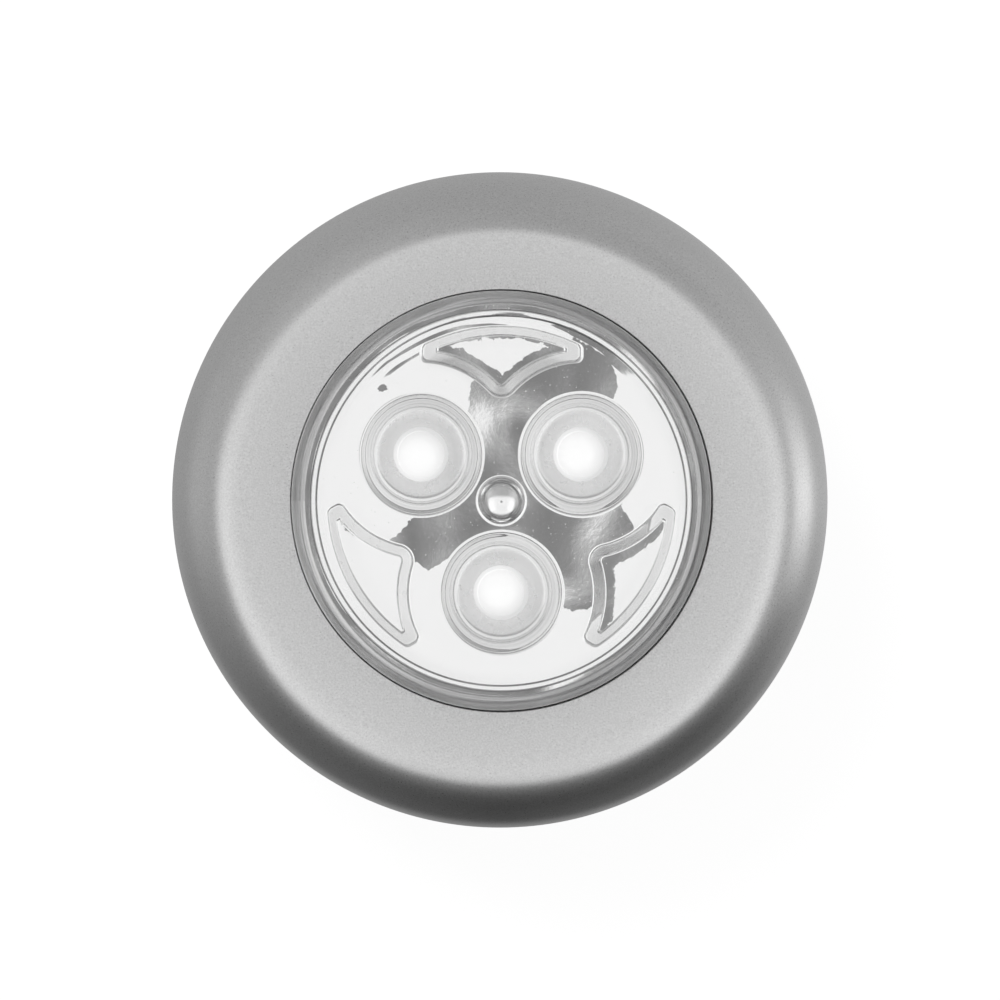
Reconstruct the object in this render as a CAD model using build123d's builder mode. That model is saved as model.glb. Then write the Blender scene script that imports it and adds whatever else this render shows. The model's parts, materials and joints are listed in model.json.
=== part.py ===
from build123d import *
import math
import os

os.makedirs("parts", exist_ok=True)

# A round stick-on light with three LEDs. It lies on its adhesive pad, whose back face is z = 0,
# and shines along +Z. All lengths are in millimetres.

# Housing: a hollow painted ring with a rounded shoulder and a window for the lens.
housing_draft = 0.4
housing_wall = 1.6
shoulder_width = 6.6
shoulder_height = 10.0
window_edge_round = 0.5
foot_edge_round = 0.6

# Adhesive pad and the twist-off back cover.
pad_inset = 4.8
pad_thickness = 1.0
cover_gap = 0.4
cover_thickness = 1.6
cover_edge_chamfer = 0.4
cover_ring_gap = 0.8
cover_ring_wall = 1.2
cover_ring_height = 1.6

# Bayonet between the back cover and the housing.
ledge_overhang = 0.1
lug_hold = 1.4
lug_end_gap = 0.4
lug_width = 8.0
lug_lift = 0.3
lug_height = 1.3
notch_clearance = 0.5
notch_inset = 0.3
stop_width = 1.2
stop_depth = 1.6
stop_clearance = 0.3
bayonet_count = 3
bayonet_angle = 90.0
unlock_angle = 20.0

# Three AAA cells side by side, with a coil contact at one end of each and a plate at the other.
cell_radius = 5.25
cell_length = 44.5
cell_nub_radius = 1.9
cell_nub_length = 0.8
cell_edge_round = 0.5
cell_side_gap = 0.2
cell_gap = 0.2
contact_thickness = 0.3
contact_width = 8.0
contact_height = 8.2
contact_corner = 1.0
contact_gap = 0.03
coil_wire_radius = 0.22
coil_length = 3.0
coil_base_radius = 3.2
coil_tip_radius = 1.6
coil_turn_count = 2
tab_width = 2.4
tab_rise = 1.9

# Battery tray: a deck over the cells, the walls of the bay, and ribs that cradle the cells.
tray_margin = 0.83
tray_gap = 2.6
deck_thickness = 1.2
bay_wall = 1.0
bay_wall_gap = 0.4
rib_thickness = 1.2
rib_depth = 3.0
rib_shares = (-0.75, -0.28, 0.28, 0.75)
cradle_clearance = 0.15
slot_clearance = 0.15

# Screws that hold the tray to the housing's bosses.
tray_screw_inset = 2.8
tray_screw_angle = 35.0
boss_radius = 2.6
tray_screw_radius = 1.1
tray_screw_length = 6.5
tray_screw_head_radius = 2.1
tray_screw_head_height = 1.5
pilot_clearance = 0.05
pilot_spare_depth = 0.6
screw_hole_clearance = 0.25
drive_width = 0.5
drive_depth = 0.6

# Circuit board on short standoffs, and its two screws.
board_margin = 0.15
board_thickness = 1.2
board_standoff = 0.8
standoff_radius = 2.2
board_screw_inset = 1.87
board_screw_angle = 60.0
board_screw_radius = 0.9
board_screw_length = 4.2
board_screw_head_radius = 1.7
board_screw_head_height = 1.1
thread_boss_depth = 1.4

# LEDs: wide-angle 5 mm type with a thin flange.
led_first_angle = 30.0
led_count = 3
led_radius = 2.4
led_flange_radius = 2.9
led_flange_thickness = 0.9
led_height = 5.3
led_crown_height = 1.3
led_flat_inset = 0.3
led_rise = 1.3
lead_width = 0.5
lead_distance = 2.54
lead_stub = 0.6
lead_hole_clearance = 0.12

# Latching push switch in the middle of the board.
switch_width = 5.6
switch_height = 3.6
switch_corner = 0.4
switch_plate_thickness = 0.25
switch_floor = 0.6
switch_bore_radius = 2.1
switch_pin_radius = 0.35
switch_pin_distance = 4.0
plunger_radius = 1.5
plunger_reach = 2.5
plunger_collar_radius = 1.95
plunger_collar_height = 0.8
plunger_clearance = 0.1
plunger_edge = 0.3
push_travel = 1.8

# Chip resistors on the board, one for each LED.
resistor_length = 3.2
resistor_width = 1.6
resistor_height = 0.6
resistor_cap = 0.5
resistor_inset = 4.0

# Reflector: metallised plate with three LED cups, three sunk wings and a centre dome.
reflector_wall = 1.0
rim_round = 0.8
reflector_skirt_wall = 1.0
reflector_skirt_depth = 2.9
reflector_lip_width = 0.6
reflector_lip_height = 0.8
press_post_radius = 1.9
press_post_length = 0.5
press_gap = 0.05
dome_radius = 2.4
dome_height = 1.4
dome_fillet = 0.35
cup_radius = 6.1
cup_web = 4.34
cup_rim_width = 3.35
cup_floor_radius = 4.2
cup_hole_radius = 3.1
cup_depth = 3.3
cup_dish = 0.15
cup_floor_thickness = 0.6
cup_bulge = 0.25
cup_wall = 0.8
cup_edge_round = 0.35
wing_depth = 1.6
wing_rim_width = 0.95
wing_outer_wall = 0.95
wing_cup_width = 3.35
wing_cup_wall = 1.55
wing_tip_reach = 0.43
wing_tip_wall = 2.4
wing_tip_round = 0.55
wing_nose_round = 0.85
wing_floor_tip_round = 0.1
wing_floor_nose_round = 0.3
wing_edge_round = 0.2

# Clear lens: a cap over the reflector, with a flange that the housing holds back.
lens_gap = 0.3
lens_thickness = 1.5
lens_proud = 1.0
lens_edge_round = 0.9
lens_skirt_gap = 0.25
lens_lip_gap = 0.2
lens_step_wall = 0.9
lens_skirt_below_lip = 0.7
lens_flange_width = 1.7
lens_flange_thickness = 1.2
lens_flange_gap = 0.1
lens_seat_gap = 0.05
catch_count = 6
catch_width = 3.0
catch_height = 0.5
catch_depth = 0.35
dome_to_lens = 0.15

# Return springs between the tray and the reflector, each round a peg.
spring_inset = 1.5
spring_first_angle = 90.0
spring_count = 3
spring_mean_radius = 2.05
spring_wire_radius = 0.24
spring_turn_count = 4
spring_end_gap = 0.03
spring_seat_radius = 2.9
peg_radius = 1.4
peg_gap = 0.25
peg_length = 1.3

# Supply leads from the end contacts to the board.
supply_lead_radius = 0.6
supply_lead_gap = 0.05
supply_pad_x = 6.5
supply_pad_y = 10.3
supply_lead_edge_shares = (0.19, 0.193)
supply_lead_deck_shares = (0.643, 0.439)
supply_lead_tab_shares = (1.0, 0.743)
bend_share = 0.45
wire_side_count = 8

# Heights, from the wall face up.
cover_top = pad_thickness + cover_thickness
ledge_top = cover_top + ledge_overhang
cell_axis_z = cover_top + cell_gap + cell_radius
deck_underside = cell_axis_z + cell_radius + cell_gap
deck_top = deck_underside + deck_thickness
board_underside = deck_top + board_standoff
board_top = board_underside + board_thickness
switch_top = board_top + switch_height
plunger_top = switch_top + plunger_reach
reflector_underside = plunger_top + press_gap + press_post_length
reflector_face = reflector_underside + reflector_wall
wing_floor = reflector_face - wing_depth
wing_underside = wing_floor - reflector_wall
lens_underside = reflector_face + dome_height + dome_to_lens
lens_top = lens_underside + lens_thickness
housing_top = lens_top - lens_proud
housing_underside = housing_top - housing_wall
shoulder_base = housing_top - shoulder_height

# Plan sizes of the battery side, from the cells outwards.
full_turn = 360.0
quarter_turn = full_turn / 4
cell_pitch = 2 * cell_radius + cell_side_gap
bay_half_width = cell_pitch + cell_radius + cell_gap
bay_half_length = (cell_length + coil_length) / 2 + contact_thickness
contact_face_y = bay_half_length - contact_thickness
tray_radius = math.hypot(bay_half_width, bay_half_length) + tray_margin
housing_radius = tray_radius + tray_gap + housing_wall
housing_foot_radius = housing_radius - housing_draft
shoulder_start = housing_radius - shoulder_width
lug_radius = housing_foot_radius - housing_wall - lug_end_gap
ledge_radius = lug_radius - lug_hold
cover_radius = ledge_radius - cover_gap
cover_ring_radius = ledge_radius - cover_ring_gap
pad_radius = cover_radius - pad_inset
bay_wall_depth = deck_underside - (cover_top + cover_ring_height + bay_wall_gap)
tray_screw_pitch_radius = tray_radius - tray_screw_inset
tray_screw_x = tray_screw_pitch_radius * math.cos(math.radians(tray_screw_angle))
tray_screw_y = tray_screw_pitch_radius * math.sin(math.radians(tray_screw_angle))

# Plan sizes of the front, from the cups outwards.
led_pitch_radius = (cup_radius + cup_web / 2) / math.sin(math.pi / led_count)
reflector_face_radius = led_pitch_radius + cup_radius + cup_rim_width
reflector_skirt_radius = reflector_face_radius + rim_round
reflector_lip_radius = reflector_skirt_radius + reflector_lip_width
lens_radius = reflector_lip_radius + lens_lip_gap + lens_step_wall
lens_skirt_radius = reflector_skirt_radius + lens_skirt_gap
window_radius = lens_radius + lens_gap
wing_outer_radius = reflector_face_radius - wing_rim_width
wing_floor_outer_radius = wing_outer_radius - wing_outer_wall
wing_cup_radius = cup_radius + wing_cup_width
wing_floor_cup_radius = wing_cup_radius + wing_cup_wall
wing_half_width = led_pitch_radius * math.cos(math.radians(led_first_angle)) + wing_tip_reach
wing_floor_half_width = wing_half_width - wing_tip_wall
spring_pitch_radius = wing_floor_outer_radius - spring_inset
board_radius = led_pitch_radius + led_flange_radius + board_margin
resistor_pitch_radius = board_radius - resistor_inset
board_screw_pitch_radius = board_radius - board_screw_inset
board_screw_x = board_screw_pitch_radius * math.cos(math.radians(board_screw_angle))
board_screw_y = board_screw_pitch_radius * math.sin(math.radians(board_screw_angle))
led_places = [("right", 0), ("left", 1), ("lower", 2)]
spring_places = [("upper", 0), ("left", 1), ("right", 2)]


def write(piece, name):
    """Labels a finished piece and writes its STEP file."""
    piece.part.label = name
    export_step(piece.part, f"parts/{name}.step")


def around(radius, degrees, height):
    """A point on a circle about the light's axis."""
    turn = math.radians(degrees)
    return (radius * math.cos(turn), radius * math.sin(turn), height)


def upright(origin, degrees=0.0):
    """A section plane that stands on a point, with its second direction up."""
    turn = math.radians(degrees)
    return Plane(
        origin=origin,
        x_dir=(math.cos(turn), math.sin(turn), 0),
        z_dir=(math.sin(turn), -math.cos(turn), 0),
    )


def cap_arc(radius, height, top):
    """Adds half the arc of a round cap, from its foot at the given radius up to its top."""
    sphere = (radius**2 + height**2) / (2 * height)
    turn = math.atan2(radius, sphere - height) / 2
    middle = (sphere * math.sin(turn), top - sphere * (1 - math.cos(turn)))
    ThreePointArc((radius, top - height), middle, (0, top))


def biarc(start, start_way, end, end_way):
    """Adds two arcs that join two points and leave and meet them along the given directions."""
    across = end - start
    both = start_way + end_way
    turn_share = 1 - start_way.dot(end_way)
    reach = across.dot(both)
    root = math.sqrt(reach * reach + 2 * turn_share * across.dot(across))
    handle = (root - reach) / (2 * turn_share)
    near = start + start_way * handle
    far = end - end_way * handle
    middle = (near + far) / 2
    TangentArc(start, middle, tangent=start_way)
    TangentArc(middle, end, tangent=(far - near).normalized())


def coil_points(place, turns, first_radius, last_radius, rise):
    """Points and directions at each half turn of a coil that climbs along a plane's normal."""
    steps = int(turns * 2)
    found = []
    for step in range(steps + 1):
        share = step / steps
        turn = math.pi * step
        radius = first_radius + (last_radius - first_radius) * share
        growth = (last_radius - first_radius) / (math.pi * steps)
        climb = rise / (math.pi * steps)
        spot = Vector(radius * math.cos(turn), radius * math.sin(turn), rise * share)
        way = Vector(
            growth * math.cos(turn) - radius * math.sin(turn),
            growth * math.sin(turn) + radius * math.cos(turn),
            climb,
        )
        there = place.from_local_coords(spot)
        found.append((there, (place.from_local_coords(spot + way) - there).normalized()))
    return found


# Adhesive pad: a die-cut disc of foam tape.
with BuildPart() as adhesive_pad:
    with BuildSketch():
        Circle(pad_radius)
    extrude(amount=pad_thickness)
write(adhesive_pad, "adhesive_pad")

# Back cover: a disc with a stiffening ring that carries the bayonet lugs.
with BuildPart() as back_cover:
    with BuildSketch(Plane.XY.offset(pad_thickness)):
        Circle(cover_radius)
    extrude(amount=cover_thickness)
    chamfer(back_cover.edges().group_by(Axis.Z)[0], cover_edge_chamfer)
    with BuildSketch(Plane.XY.offset(cover_top)):
        Circle(cover_ring_radius)
        Circle(cover_ring_radius - cover_ring_wall, mode=Mode.SUBTRACT)
    extrude(amount=cover_ring_height)
    lug_reach = lug_radius - cover_ring_radius + cover_ring_wall / 2
    with BuildSketch(Plane.XY.offset(cover_top + lug_lift)):
        with PolarLocations(lug_radius - lug_reach / 2, bayonet_count, start_angle=bayonet_angle):
            Rectangle(lug_reach, lug_width)
        Circle(lug_radius, mode=Mode.INTERSECT)
    extrude(amount=lug_height)
write(back_cover, "back_cover")

# Outer housing: the turned ring, its bayonet ledge with notches and stops, and the screw bosses.
with BuildPart() as outer_housing:
    with BuildSketch(Plane.XZ) as housing_section:
        with BuildLine():
            Polyline(
                (shoulder_start, housing_underside),
                (window_radius, housing_underside),
                (window_radius, housing_top),
                (shoulder_start, housing_top),
            )
            EllipticalCenterArc(
                (shoulder_start, shoulder_base),
                shoulder_width,
                shoulder_height,
                0,
                arc_size=quarter_turn,
            )
            Polyline(
                (housing_radius, shoulder_base),
                (housing_foot_radius, pad_thickness),
                (ledge_radius, pad_thickness),
                (ledge_radius, ledge_top),
                (housing_foot_radius - housing_wall, ledge_top),
                (housing_radius - housing_wall, shoulder_base),
            )
            EllipticalCenterArc(
                (shoulder_start, shoulder_base),
                shoulder_width - housing_wall,
                shoulder_height - housing_wall,
                0,
                arc_size=quarter_turn,
            )
        make_face()
        window_corner = housing_section.vertices().group_by(Axis.Y)[-1].sort_by(Axis.X)[0]
        fillet(window_corner, window_edge_round)
        foot_corner = housing_section.vertices().group_by(Axis.Y)[0].sort_by(Axis.X)[-1]
        fillet(foot_corner, foot_edge_round)
    revolve(axis=Axis.Z)
    with BuildSketch(Plane.XY.offset(pad_thickness)):
        notch_start = ledge_radius - notch_inset
        notch_reach = lug_radius + notch_clearance - notch_start
        notch_middle = notch_start + notch_reach / 2
        with PolarLocations(notch_middle, bayonet_count, start_angle=bayonet_angle - unlock_angle):
            Rectangle(notch_reach, lug_width + 2 * notch_clearance)
        Circle(lug_radius + notch_clearance / 2, mode=Mode.INTERSECT)
    extrude(amount=ledge_top - pad_thickness, mode=Mode.SUBTRACT)
    stop_outer = housing_foot_radius - housing_wall / 2
    stop_turn = math.degrees((lug_width / 2 + stop_clearance + stop_width / 2) / lug_radius)
    with BuildSketch(Plane.XY.offset(ledge_top)):
        with PolarLocations(
            stop_outer - stop_depth / 2, bayonet_count, start_angle=bayonet_angle + stop_turn
        ):
            Rectangle(stop_depth, stop_width)
        Circle(stop_outer, mode=Mode.INTERSECT)
    extrude(amount=lug_height)
    with BuildSketch(Plane.XY.offset(deck_top)):
        with GridLocations(2 * tray_screw_x, 2 * tray_screw_y, 2, 2):
            Circle(boss_radius)
    extrude(amount=housing_underside - deck_top)
    pilot_depth = tray_screw_length - deck_thickness + pilot_spare_depth
    with BuildSketch(Plane.XY.offset(deck_top)):
        with GridLocations(2 * tray_screw_x, 2 * tray_screw_y, 2, 2):
            Circle(tray_screw_radius + pilot_clearance)
    extrude(amount=pilot_depth, mode=Mode.SUBTRACT)
write(outer_housing, "outer_housing")

# Battery tray: deck, bay walls, cradle ribs, standoffs for the board, and spring pegs.
tray_peg_height = wing_underside - peg_length - push_travel - peg_gap - deck_top
with BuildPart() as battery_tray:
    with BuildSketch(Plane.XY.offset(deck_underside)):
        Circle(tray_radius)
    extrude(amount=deck_thickness)
    with BuildSketch(Plane.XY.offset(deck_underside - bay_wall_depth)):
        Rectangle(2 * (bay_half_width + bay_wall), 2 * (bay_half_length + bay_wall))
        Circle(tray_radius, mode=Mode.INTERSECT)
        Rectangle(2 * bay_half_width, 2 * bay_half_length, mode=Mode.SUBTRACT)
    extrude(amount=bay_wall_depth)
    with BuildSketch(Plane.XY.offset(deck_underside - rib_depth)):
        with Locations(*[(0, share * bay_half_length) for share in rib_shares]):
            Rectangle(2 * bay_half_width, rib_thickness)
    extrude(amount=rib_depth)
    with BuildSketch(Plane.XY.offset(deck_underside - thread_boss_depth)):
        with Locations((-board_screw_x, board_screw_y), (board_screw_x, -board_screw_y)):
            Circle(standoff_radius)
    extrude(amount=thread_boss_depth)
    with GridLocations(cell_pitch, 0, 3, 1):
        with Locations((0, 0, cell_axis_z)):
            Cylinder(
                cell_radius + cradle_clearance,
                2 * contact_face_y,
                rotation=(quarter_turn, 0, 0),
                mode=Mode.SUBTRACT,
            )
    with BuildSketch(Plane.XY.offset(deck_top)):
        with Locations((-board_screw_x, board_screw_y), (board_screw_x, -board_screw_y)):
            Circle(standoff_radius)
    extrude(amount=board_standoff)
    with BuildSketch(Plane.XY.offset(board_underside)):
        with Locations((-board_screw_x, board_screw_y), (board_screw_x, -board_screw_y)):
            Circle(board_screw_radius + pilot_clearance)
    extrude(amount=-(board_screw_length - board_thickness + pilot_clearance), mode=Mode.SUBTRACT)
    with BuildSketch(Plane.XY.offset(deck_top)):
        with PolarLocations(spring_pitch_radius, spring_count, start_angle=spring_first_angle):
            Circle(peg_radius)
    extrude(amount=tray_peg_height)
    with BuildSketch(Plane.XY.offset(deck_underside)):
        with GridLocations(2 * tray_screw_x, 2 * tray_screw_y, 2, 2):
            Circle(tray_screw_radius + screw_hole_clearance)
        tab_y = bay_half_length - contact_thickness / 2
        with Locations((cell_pitch, tab_y), (-cell_pitch, -tab_y)):
            Rectangle(tab_width + 2 * slot_clearance, contact_thickness + 2 * slot_clearance)
    extrude(amount=deck_thickness, mode=Mode.SUBTRACT)
write(battery_tray, "battery_tray")


def pan_screw(origin, way, shank_radius, length, head_radius, head_height):
    """A slotted pan-head screw whose head sits on the origin and whose shank follows the way."""
    seat = Plane(origin=origin, x_dir=(1, 0, 0), z_dir=way)
    with BuildPart() as screw:
        with BuildSketch(seat):
            Circle(shank_radius)
        extrude(amount=length)
        with BuildSketch(seat):
            Circle(head_radius)
        extrude(amount=-head_height)
        crown = screw.faces().sort_by(Axis(origin, way))[0]
        fillet(crown.edges(), head_height / 2)
        with BuildSketch(seat.offset(-head_height)):
            Rectangle(2 * head_radius, drive_width)
        extrude(amount=drive_depth, mode=Mode.SUBTRACT)
    return screw.part


# Tray screws: four alike, driven from the battery side into the housing's bosses.
with BuildPart() as tray_screws:
    for side_x in (-1, 1):
        for side_y in (-1, 1):
            add(
                pan_screw(
                    (side_x * tray_screw_x, side_y * tray_screw_y, deck_underside),
                    (0, 0, 1),
                    tray_screw_radius,
                    tray_screw_length,
                    tray_screw_head_radius,
                    tray_screw_head_height,
                )
            )
write(tray_screws, "tray_screws")

# Board screws: two alike, driven from above into the standoffs.
with BuildPart() as board_screws:
    for side in (-1, 1):
        add(
            pan_screw(
                (side * board_screw_x, -side * board_screw_y, board_top),
                (0, 0, -1),
                board_screw_radius,
                board_screw_length,
                board_screw_head_radius,
                board_screw_head_height,
            )
        )
write(board_screws, "board_screws")

# AAA cells: the outer two point along +Y, the middle one along -Y.
for name, column, way in (("cell_left", -1, 1), ("cell_middle", 0, -1), ("cell_right", 1, 1)):
    tip_y = way * (contact_face_y - contact_gap)
    nub_plane = Plane(
        origin=(column * cell_pitch, tip_y, cell_axis_z), x_dir=(1, 0, 0), z_dir=(0, -way, 0)
    )
    with BuildPart() as cell:
        with BuildSketch(nub_plane):
            Circle(cell_nub_radius)
        extrude(amount=cell_length)
        with BuildSketch(nub_plane.offset(cell_nub_length)):
            Circle(cell_radius)
        extrude(amount=cell_length - cell_nub_length)
        rings = cell.edges().filter_by(GeomType.CIRCLE).group_by(SortBy.RADIUS)[-1]
        fillet(rings, cell_edge_round)
    write(cell, name)

# Negative contacts: coils that widen from the cell to the plate behind it.
coil_gap = contact_gap + coil_wire_radius
coil_self_gaps = []
for name, column, way in (("left", -1, 1), ("middle", 0, -1), ("right", 1, 1)):
    coil_base = Plane(
        origin=(column * cell_pitch, -way * (contact_face_y - coil_gap), cell_axis_z),
        x_dir=(0, 0, 1),
        z_dir=(0, way, 0),
    )
    coil_rise = coil_length - 2 * coil_gap
    stations = coil_points(coil_base, coil_turn_count, coil_base_radius, coil_tip_radius, coil_rise)
    with BuildPart() as contact_coil:
        with BuildLine() as coil_line:
            for (here, this_way), (there, that_way) in zip(stations, stations[1:]):
                biarc(here, this_way, there, that_way)
        with BuildSketch(Plane(origin=coil_line.wire() @ 0, z_dir=coil_line.wire() % 0)):
            RegularPolygon(coil_wire_radius, wire_side_count)
        sweep(path=coil_line.wire(), clean=False)
    write(contact_coil, f"contact_coil_{name}")
coil_self_gaps.append(coil_rise / coil_turn_count - 2 * coil_wire_radius)


def contact_plate(left_x, right_x, side, tab_x=None):
    """A flat spring-steel contact that stands against one end wall of the battery bay."""
    face = Plane(origin=(0, side * bay_half_length, 0), x_dir=(-side, 0, 0), z_dir=(0, side, 0))
    middle = -side * (left_x + right_x) / 2
    with BuildPart() as plate:
        with BuildSketch(face):
            with Locations((middle, cell_axis_z)):
                RectangleRounded(right_x - left_x, contact_height, contact_corner)
            if tab_x is not None:
                tab_top = deck_top + tab_rise
                with Locations((-side * tab_x, (tab_top + cell_axis_z) / 2)):
                    Rectangle(tab_width, tab_top - cell_axis_z)
        extrude(amount=-contact_thickness)
    return plate


half_contact = contact_width / 2
write(contact_plate(-cell_pitch - half_contact, half_contact, 1), "link_plate_front")
write(contact_plate(-half_contact, cell_pitch + half_contact, -1), "link_plate_rear")
write(
    contact_plate(cell_pitch - half_contact, cell_pitch + half_contact, 1, cell_pitch),
    "terminal_plate_positive",
)
write(
    contact_plate(-cell_pitch - half_contact, -cell_pitch + half_contact, -1, -cell_pitch),
    "terminal_plate_negative",
)

# Circuit board: a round board drilled for the LEDs, the switch and its screws.
with BuildPart() as circuit_board:
    with BuildSketch(Plane.XY.offset(board_underside)):
        Circle(board_radius)
        for _, step in led_places:
            led_angle = led_first_angle + step * full_turn / led_count
            with Locations(Plane(origin=around(led_pitch_radius, led_angle, 0))):
                with PolarLocations(lead_distance / 2, 2, start_angle=led_angle + quarter_turn):
                    Circle(math.hypot(lead_width, lead_width) / 2 + lead_hole_clearance, mode=Mode.SUBTRACT)
        with GridLocations(switch_pin_distance, switch_pin_distance, 2, 2):
            Circle(switch_pin_radius + lead_hole_clearance, mode=Mode.SUBTRACT)
        with Locations((-board_screw_x, board_screw_y), (board_screw_x, -board_screw_y)):
            Circle(board_screw_radius + screw_hole_clearance, mode=Mode.SUBTRACT)
    extrude(amount=board_thickness)
write(circuit_board, "circuit_board")

# LEDs and their leads, each standing on the board under its reflector cup.
led_base = board_top + led_rise
for name, step in led_places:
    led_angle = led_first_angle + step * full_turn / led_count
    led_foot = around(led_pitch_radius, led_angle, led_base)
    with BuildPart() as led:
        with BuildSketch(upright(led_foot, led_angle)):
            with BuildLine():
                Polyline(
                    (0, led_height),
                    (0, 0),
                    (led_flange_radius, 0),
                    (led_flange_radius, led_flange_thickness),
                    (led_radius, led_flange_thickness),
                    (led_radius, led_height - led_crown_height),
                )
                cap_arc(led_radius, led_crown_height, led_height)
            make_face()
        revolve(axis=Axis(led_foot, (0, 0, 1)))
        flat_radius = led_pitch_radius + led_flange_radius
        with BuildSketch(Plane(origin=around(flat_radius, led_angle, led_base),
                               x_dir=around(1, led_angle, 0), z_dir=(0, 0, 1))):
            Rectangle(2 * led_flat_inset, 2 * led_flange_radius)
        extrude(amount=led_flange_thickness, mode=Mode.SUBTRACT)
    write(led, f"led_{name}")
    with BuildPart() as led_leads:
        lead_plane = Plane(
            origin=around(led_pitch_radius, led_angle, board_underside - lead_stub),
            x_dir=around(1, led_angle, 0),
            z_dir=(0, 0, 1),
        )
        with BuildSketch(lead_plane):
            with GridLocations(0, lead_distance, 1, 2):
                Rectangle(lead_width, lead_width)
        extrude(amount=led_base - board_underside + lead_stub)
    write(led_leads, f"led_leads_{name}")

# Chip resistors: a ceramic body with a metal cap at each end, lying between the LEDs.
for name, step in spring_places:
    chip_angle = spring_first_angle + step * full_turn / spring_count
    chip_plane = Plane(
        origin=around(resistor_pitch_radius, chip_angle, board_top),
        x_dir=around(1, chip_angle + quarter_turn, 0),
        z_dir=(0, 0, 1),
    )
    with BuildPart() as resistor:
        with BuildSketch(chip_plane):
            Rectangle(resistor_length - 2 * resistor_cap, resistor_width)
        extrude(amount=resistor_height)
    write(resistor, f"resistor_{name}")
    with BuildPart() as resistor_caps:
        with BuildSketch(chip_plane):
            with GridLocations(resistor_length - resistor_cap, 0, 2, 1):
                Rectangle(resistor_cap, resistor_width)
        extrude(amount=resistor_height)
    write(resistor_caps, f"resistor_caps_{name}")

# Switch: moulded body, steel top plate, pins, and the plunger that rides in it.
with BuildPart() as switch_body:
    with BuildSketch(Plane.XY.offset(board_top)):
        RectangleRounded(switch_width, switch_width, switch_corner)
    extrude(amount=switch_height - switch_plate_thickness)
    with BuildSketch(Plane.XY.offset(board_top + switch_floor)):
        Circle(switch_bore_radius)
    extrude(amount=switch_height - switch_plate_thickness - switch_floor, mode=Mode.SUBTRACT)
write(switch_body, "switch_body")

with BuildPart() as switch_plate:
    with BuildSketch(Plane.XY.offset(switch_top - switch_plate_thickness)):
        RectangleRounded(switch_width, switch_width, switch_corner)
        Circle(plunger_radius + plunger_clearance, mode=Mode.SUBTRACT)
    extrude(amount=switch_plate_thickness)
write(switch_plate, "switch_plate")

with BuildPart() as switch_pins:
    with BuildSketch(Plane.XY.offset(board_underside - lead_stub)):
        with GridLocations(switch_pin_distance, switch_pin_distance, 2, 2):
            Circle(switch_pin_radius)
    extrude(amount=board_thickness + lead_stub)
write(switch_pins, "switch_pins")

collar_top = switch_top - switch_plate_thickness - plunger_clearance
with BuildPart() as switch_plunger:
    with BuildSketch(Plane.XY.offset(collar_top - plunger_collar_height)):
        Circle(plunger_collar_radius)
    extrude(amount=plunger_collar_height)
    with BuildSketch(Plane.XY.offset(collar_top)):
        Circle(plunger_radius)
    extrude(amount=plunger_top - collar_top)
    chamfer(switch_plunger.edges().group_by(Axis.Z)[-1], plunger_edge)
write(switch_plunger, "switch_plunger")

# Return springs: each stands on the deck round its peg and carries the reflector.
spring_low = deck_top + spring_end_gap + spring_wire_radius
spring_rise = wing_underside - spring_end_gap - spring_wire_radius - spring_low
for name, step in spring_places:
    spring_angle = spring_first_angle + step * full_turn / spring_count
    spring_foot = Plane(
        origin=around(spring_pitch_radius, spring_angle, spring_low),
        x_dir=around(1, spring_angle, 0),
        z_dir=(0, 0, 1),
    )
    stations = coil_points(
        spring_foot, spring_turn_count, spring_mean_radius, spring_mean_radius, spring_rise
    )
    with BuildPart() as return_spring:
        with BuildLine() as spring_line:
            for (here, this_way), (there, that_way) in zip(stations, stations[1:]):
                biarc(here, this_way, there, that_way)
        with BuildSketch(Plane(origin=spring_line.wire() @ 0, z_dir=spring_line.wire() % 0)):
            RegularPolygon(spring_wire_radius, wire_side_count)
        sweep(path=spring_line.wire(), clean=False)
    write(return_spring, f"return_spring_{name}")
coil_self_gaps.append(spring_rise / spring_turn_count - 2 * spring_wire_radius)
print("least gap between turns:", round(min(coil_self_gaps), 3))

# Supply leads: one each side, held between an end contact's tab and a pad on the board.
lead_over_board = board_top + supply_lead_radius + supply_lead_gap
lead_on_deck = deck_top + supply_lead_radius + supply_lead_gap


def on_the_way(shares, height):
    """A point between the pad on the board and the contact's tab, by its share of the way in X and in Y."""
    share_x, share_y = shares
    return (
        supply_pad_x + (cell_pitch - supply_pad_x) * share_x,
        supply_pad_y + (contact_face_y - supply_pad_y) * share_y,
        height,
    )


for name, side in (("red", 1), ("black", -1)):
    route = [
        (supply_pad_x, supply_pad_y, lead_over_board),
        on_the_way(supply_lead_edge_shares, lead_over_board),
        on_the_way(supply_lead_deck_shares, lead_on_deck),
        on_the_way(supply_lead_tab_shares, lead_on_deck),
        (cell_pitch, contact_face_y, lead_on_deck),
    ]
    route = [Vector(side * x, side * y, z) for x, y, z in route]
    bends = []
    for before, here, after in zip(route, route[1:], route[2:]):
        turn = math.radians((here - before).get_angle(after - here))
        shorter = min((here - before).length, (after - here).length)
        bends.append(bend_share * shorter / math.tan(turn / 2))
    print("supply lead bends:", [round(bend, 1) for bend in bends])
    with BuildPart() as supply_lead:
        with BuildLine() as lead_line:
            FilletPolyline(*route, radius=bends)
        with BuildSketch(Plane(origin=lead_line.wire() @ 0, z_dir=lead_line.wire() % 0)):
            Circle(supply_lead_radius)
        sweep(path=lead_line.wire())
    write(supply_lead, f"supply_lead_{name}")

# Wing recess: outline at the face and at the floor, drawn about the top wing.
cup_centres = [
    around(led_pitch_radius, led_first_angle + step * full_turn / led_count, 0)[:2]
    for step in range(led_count)
]

cup_row_y = cup_centres[0][1]


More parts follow.
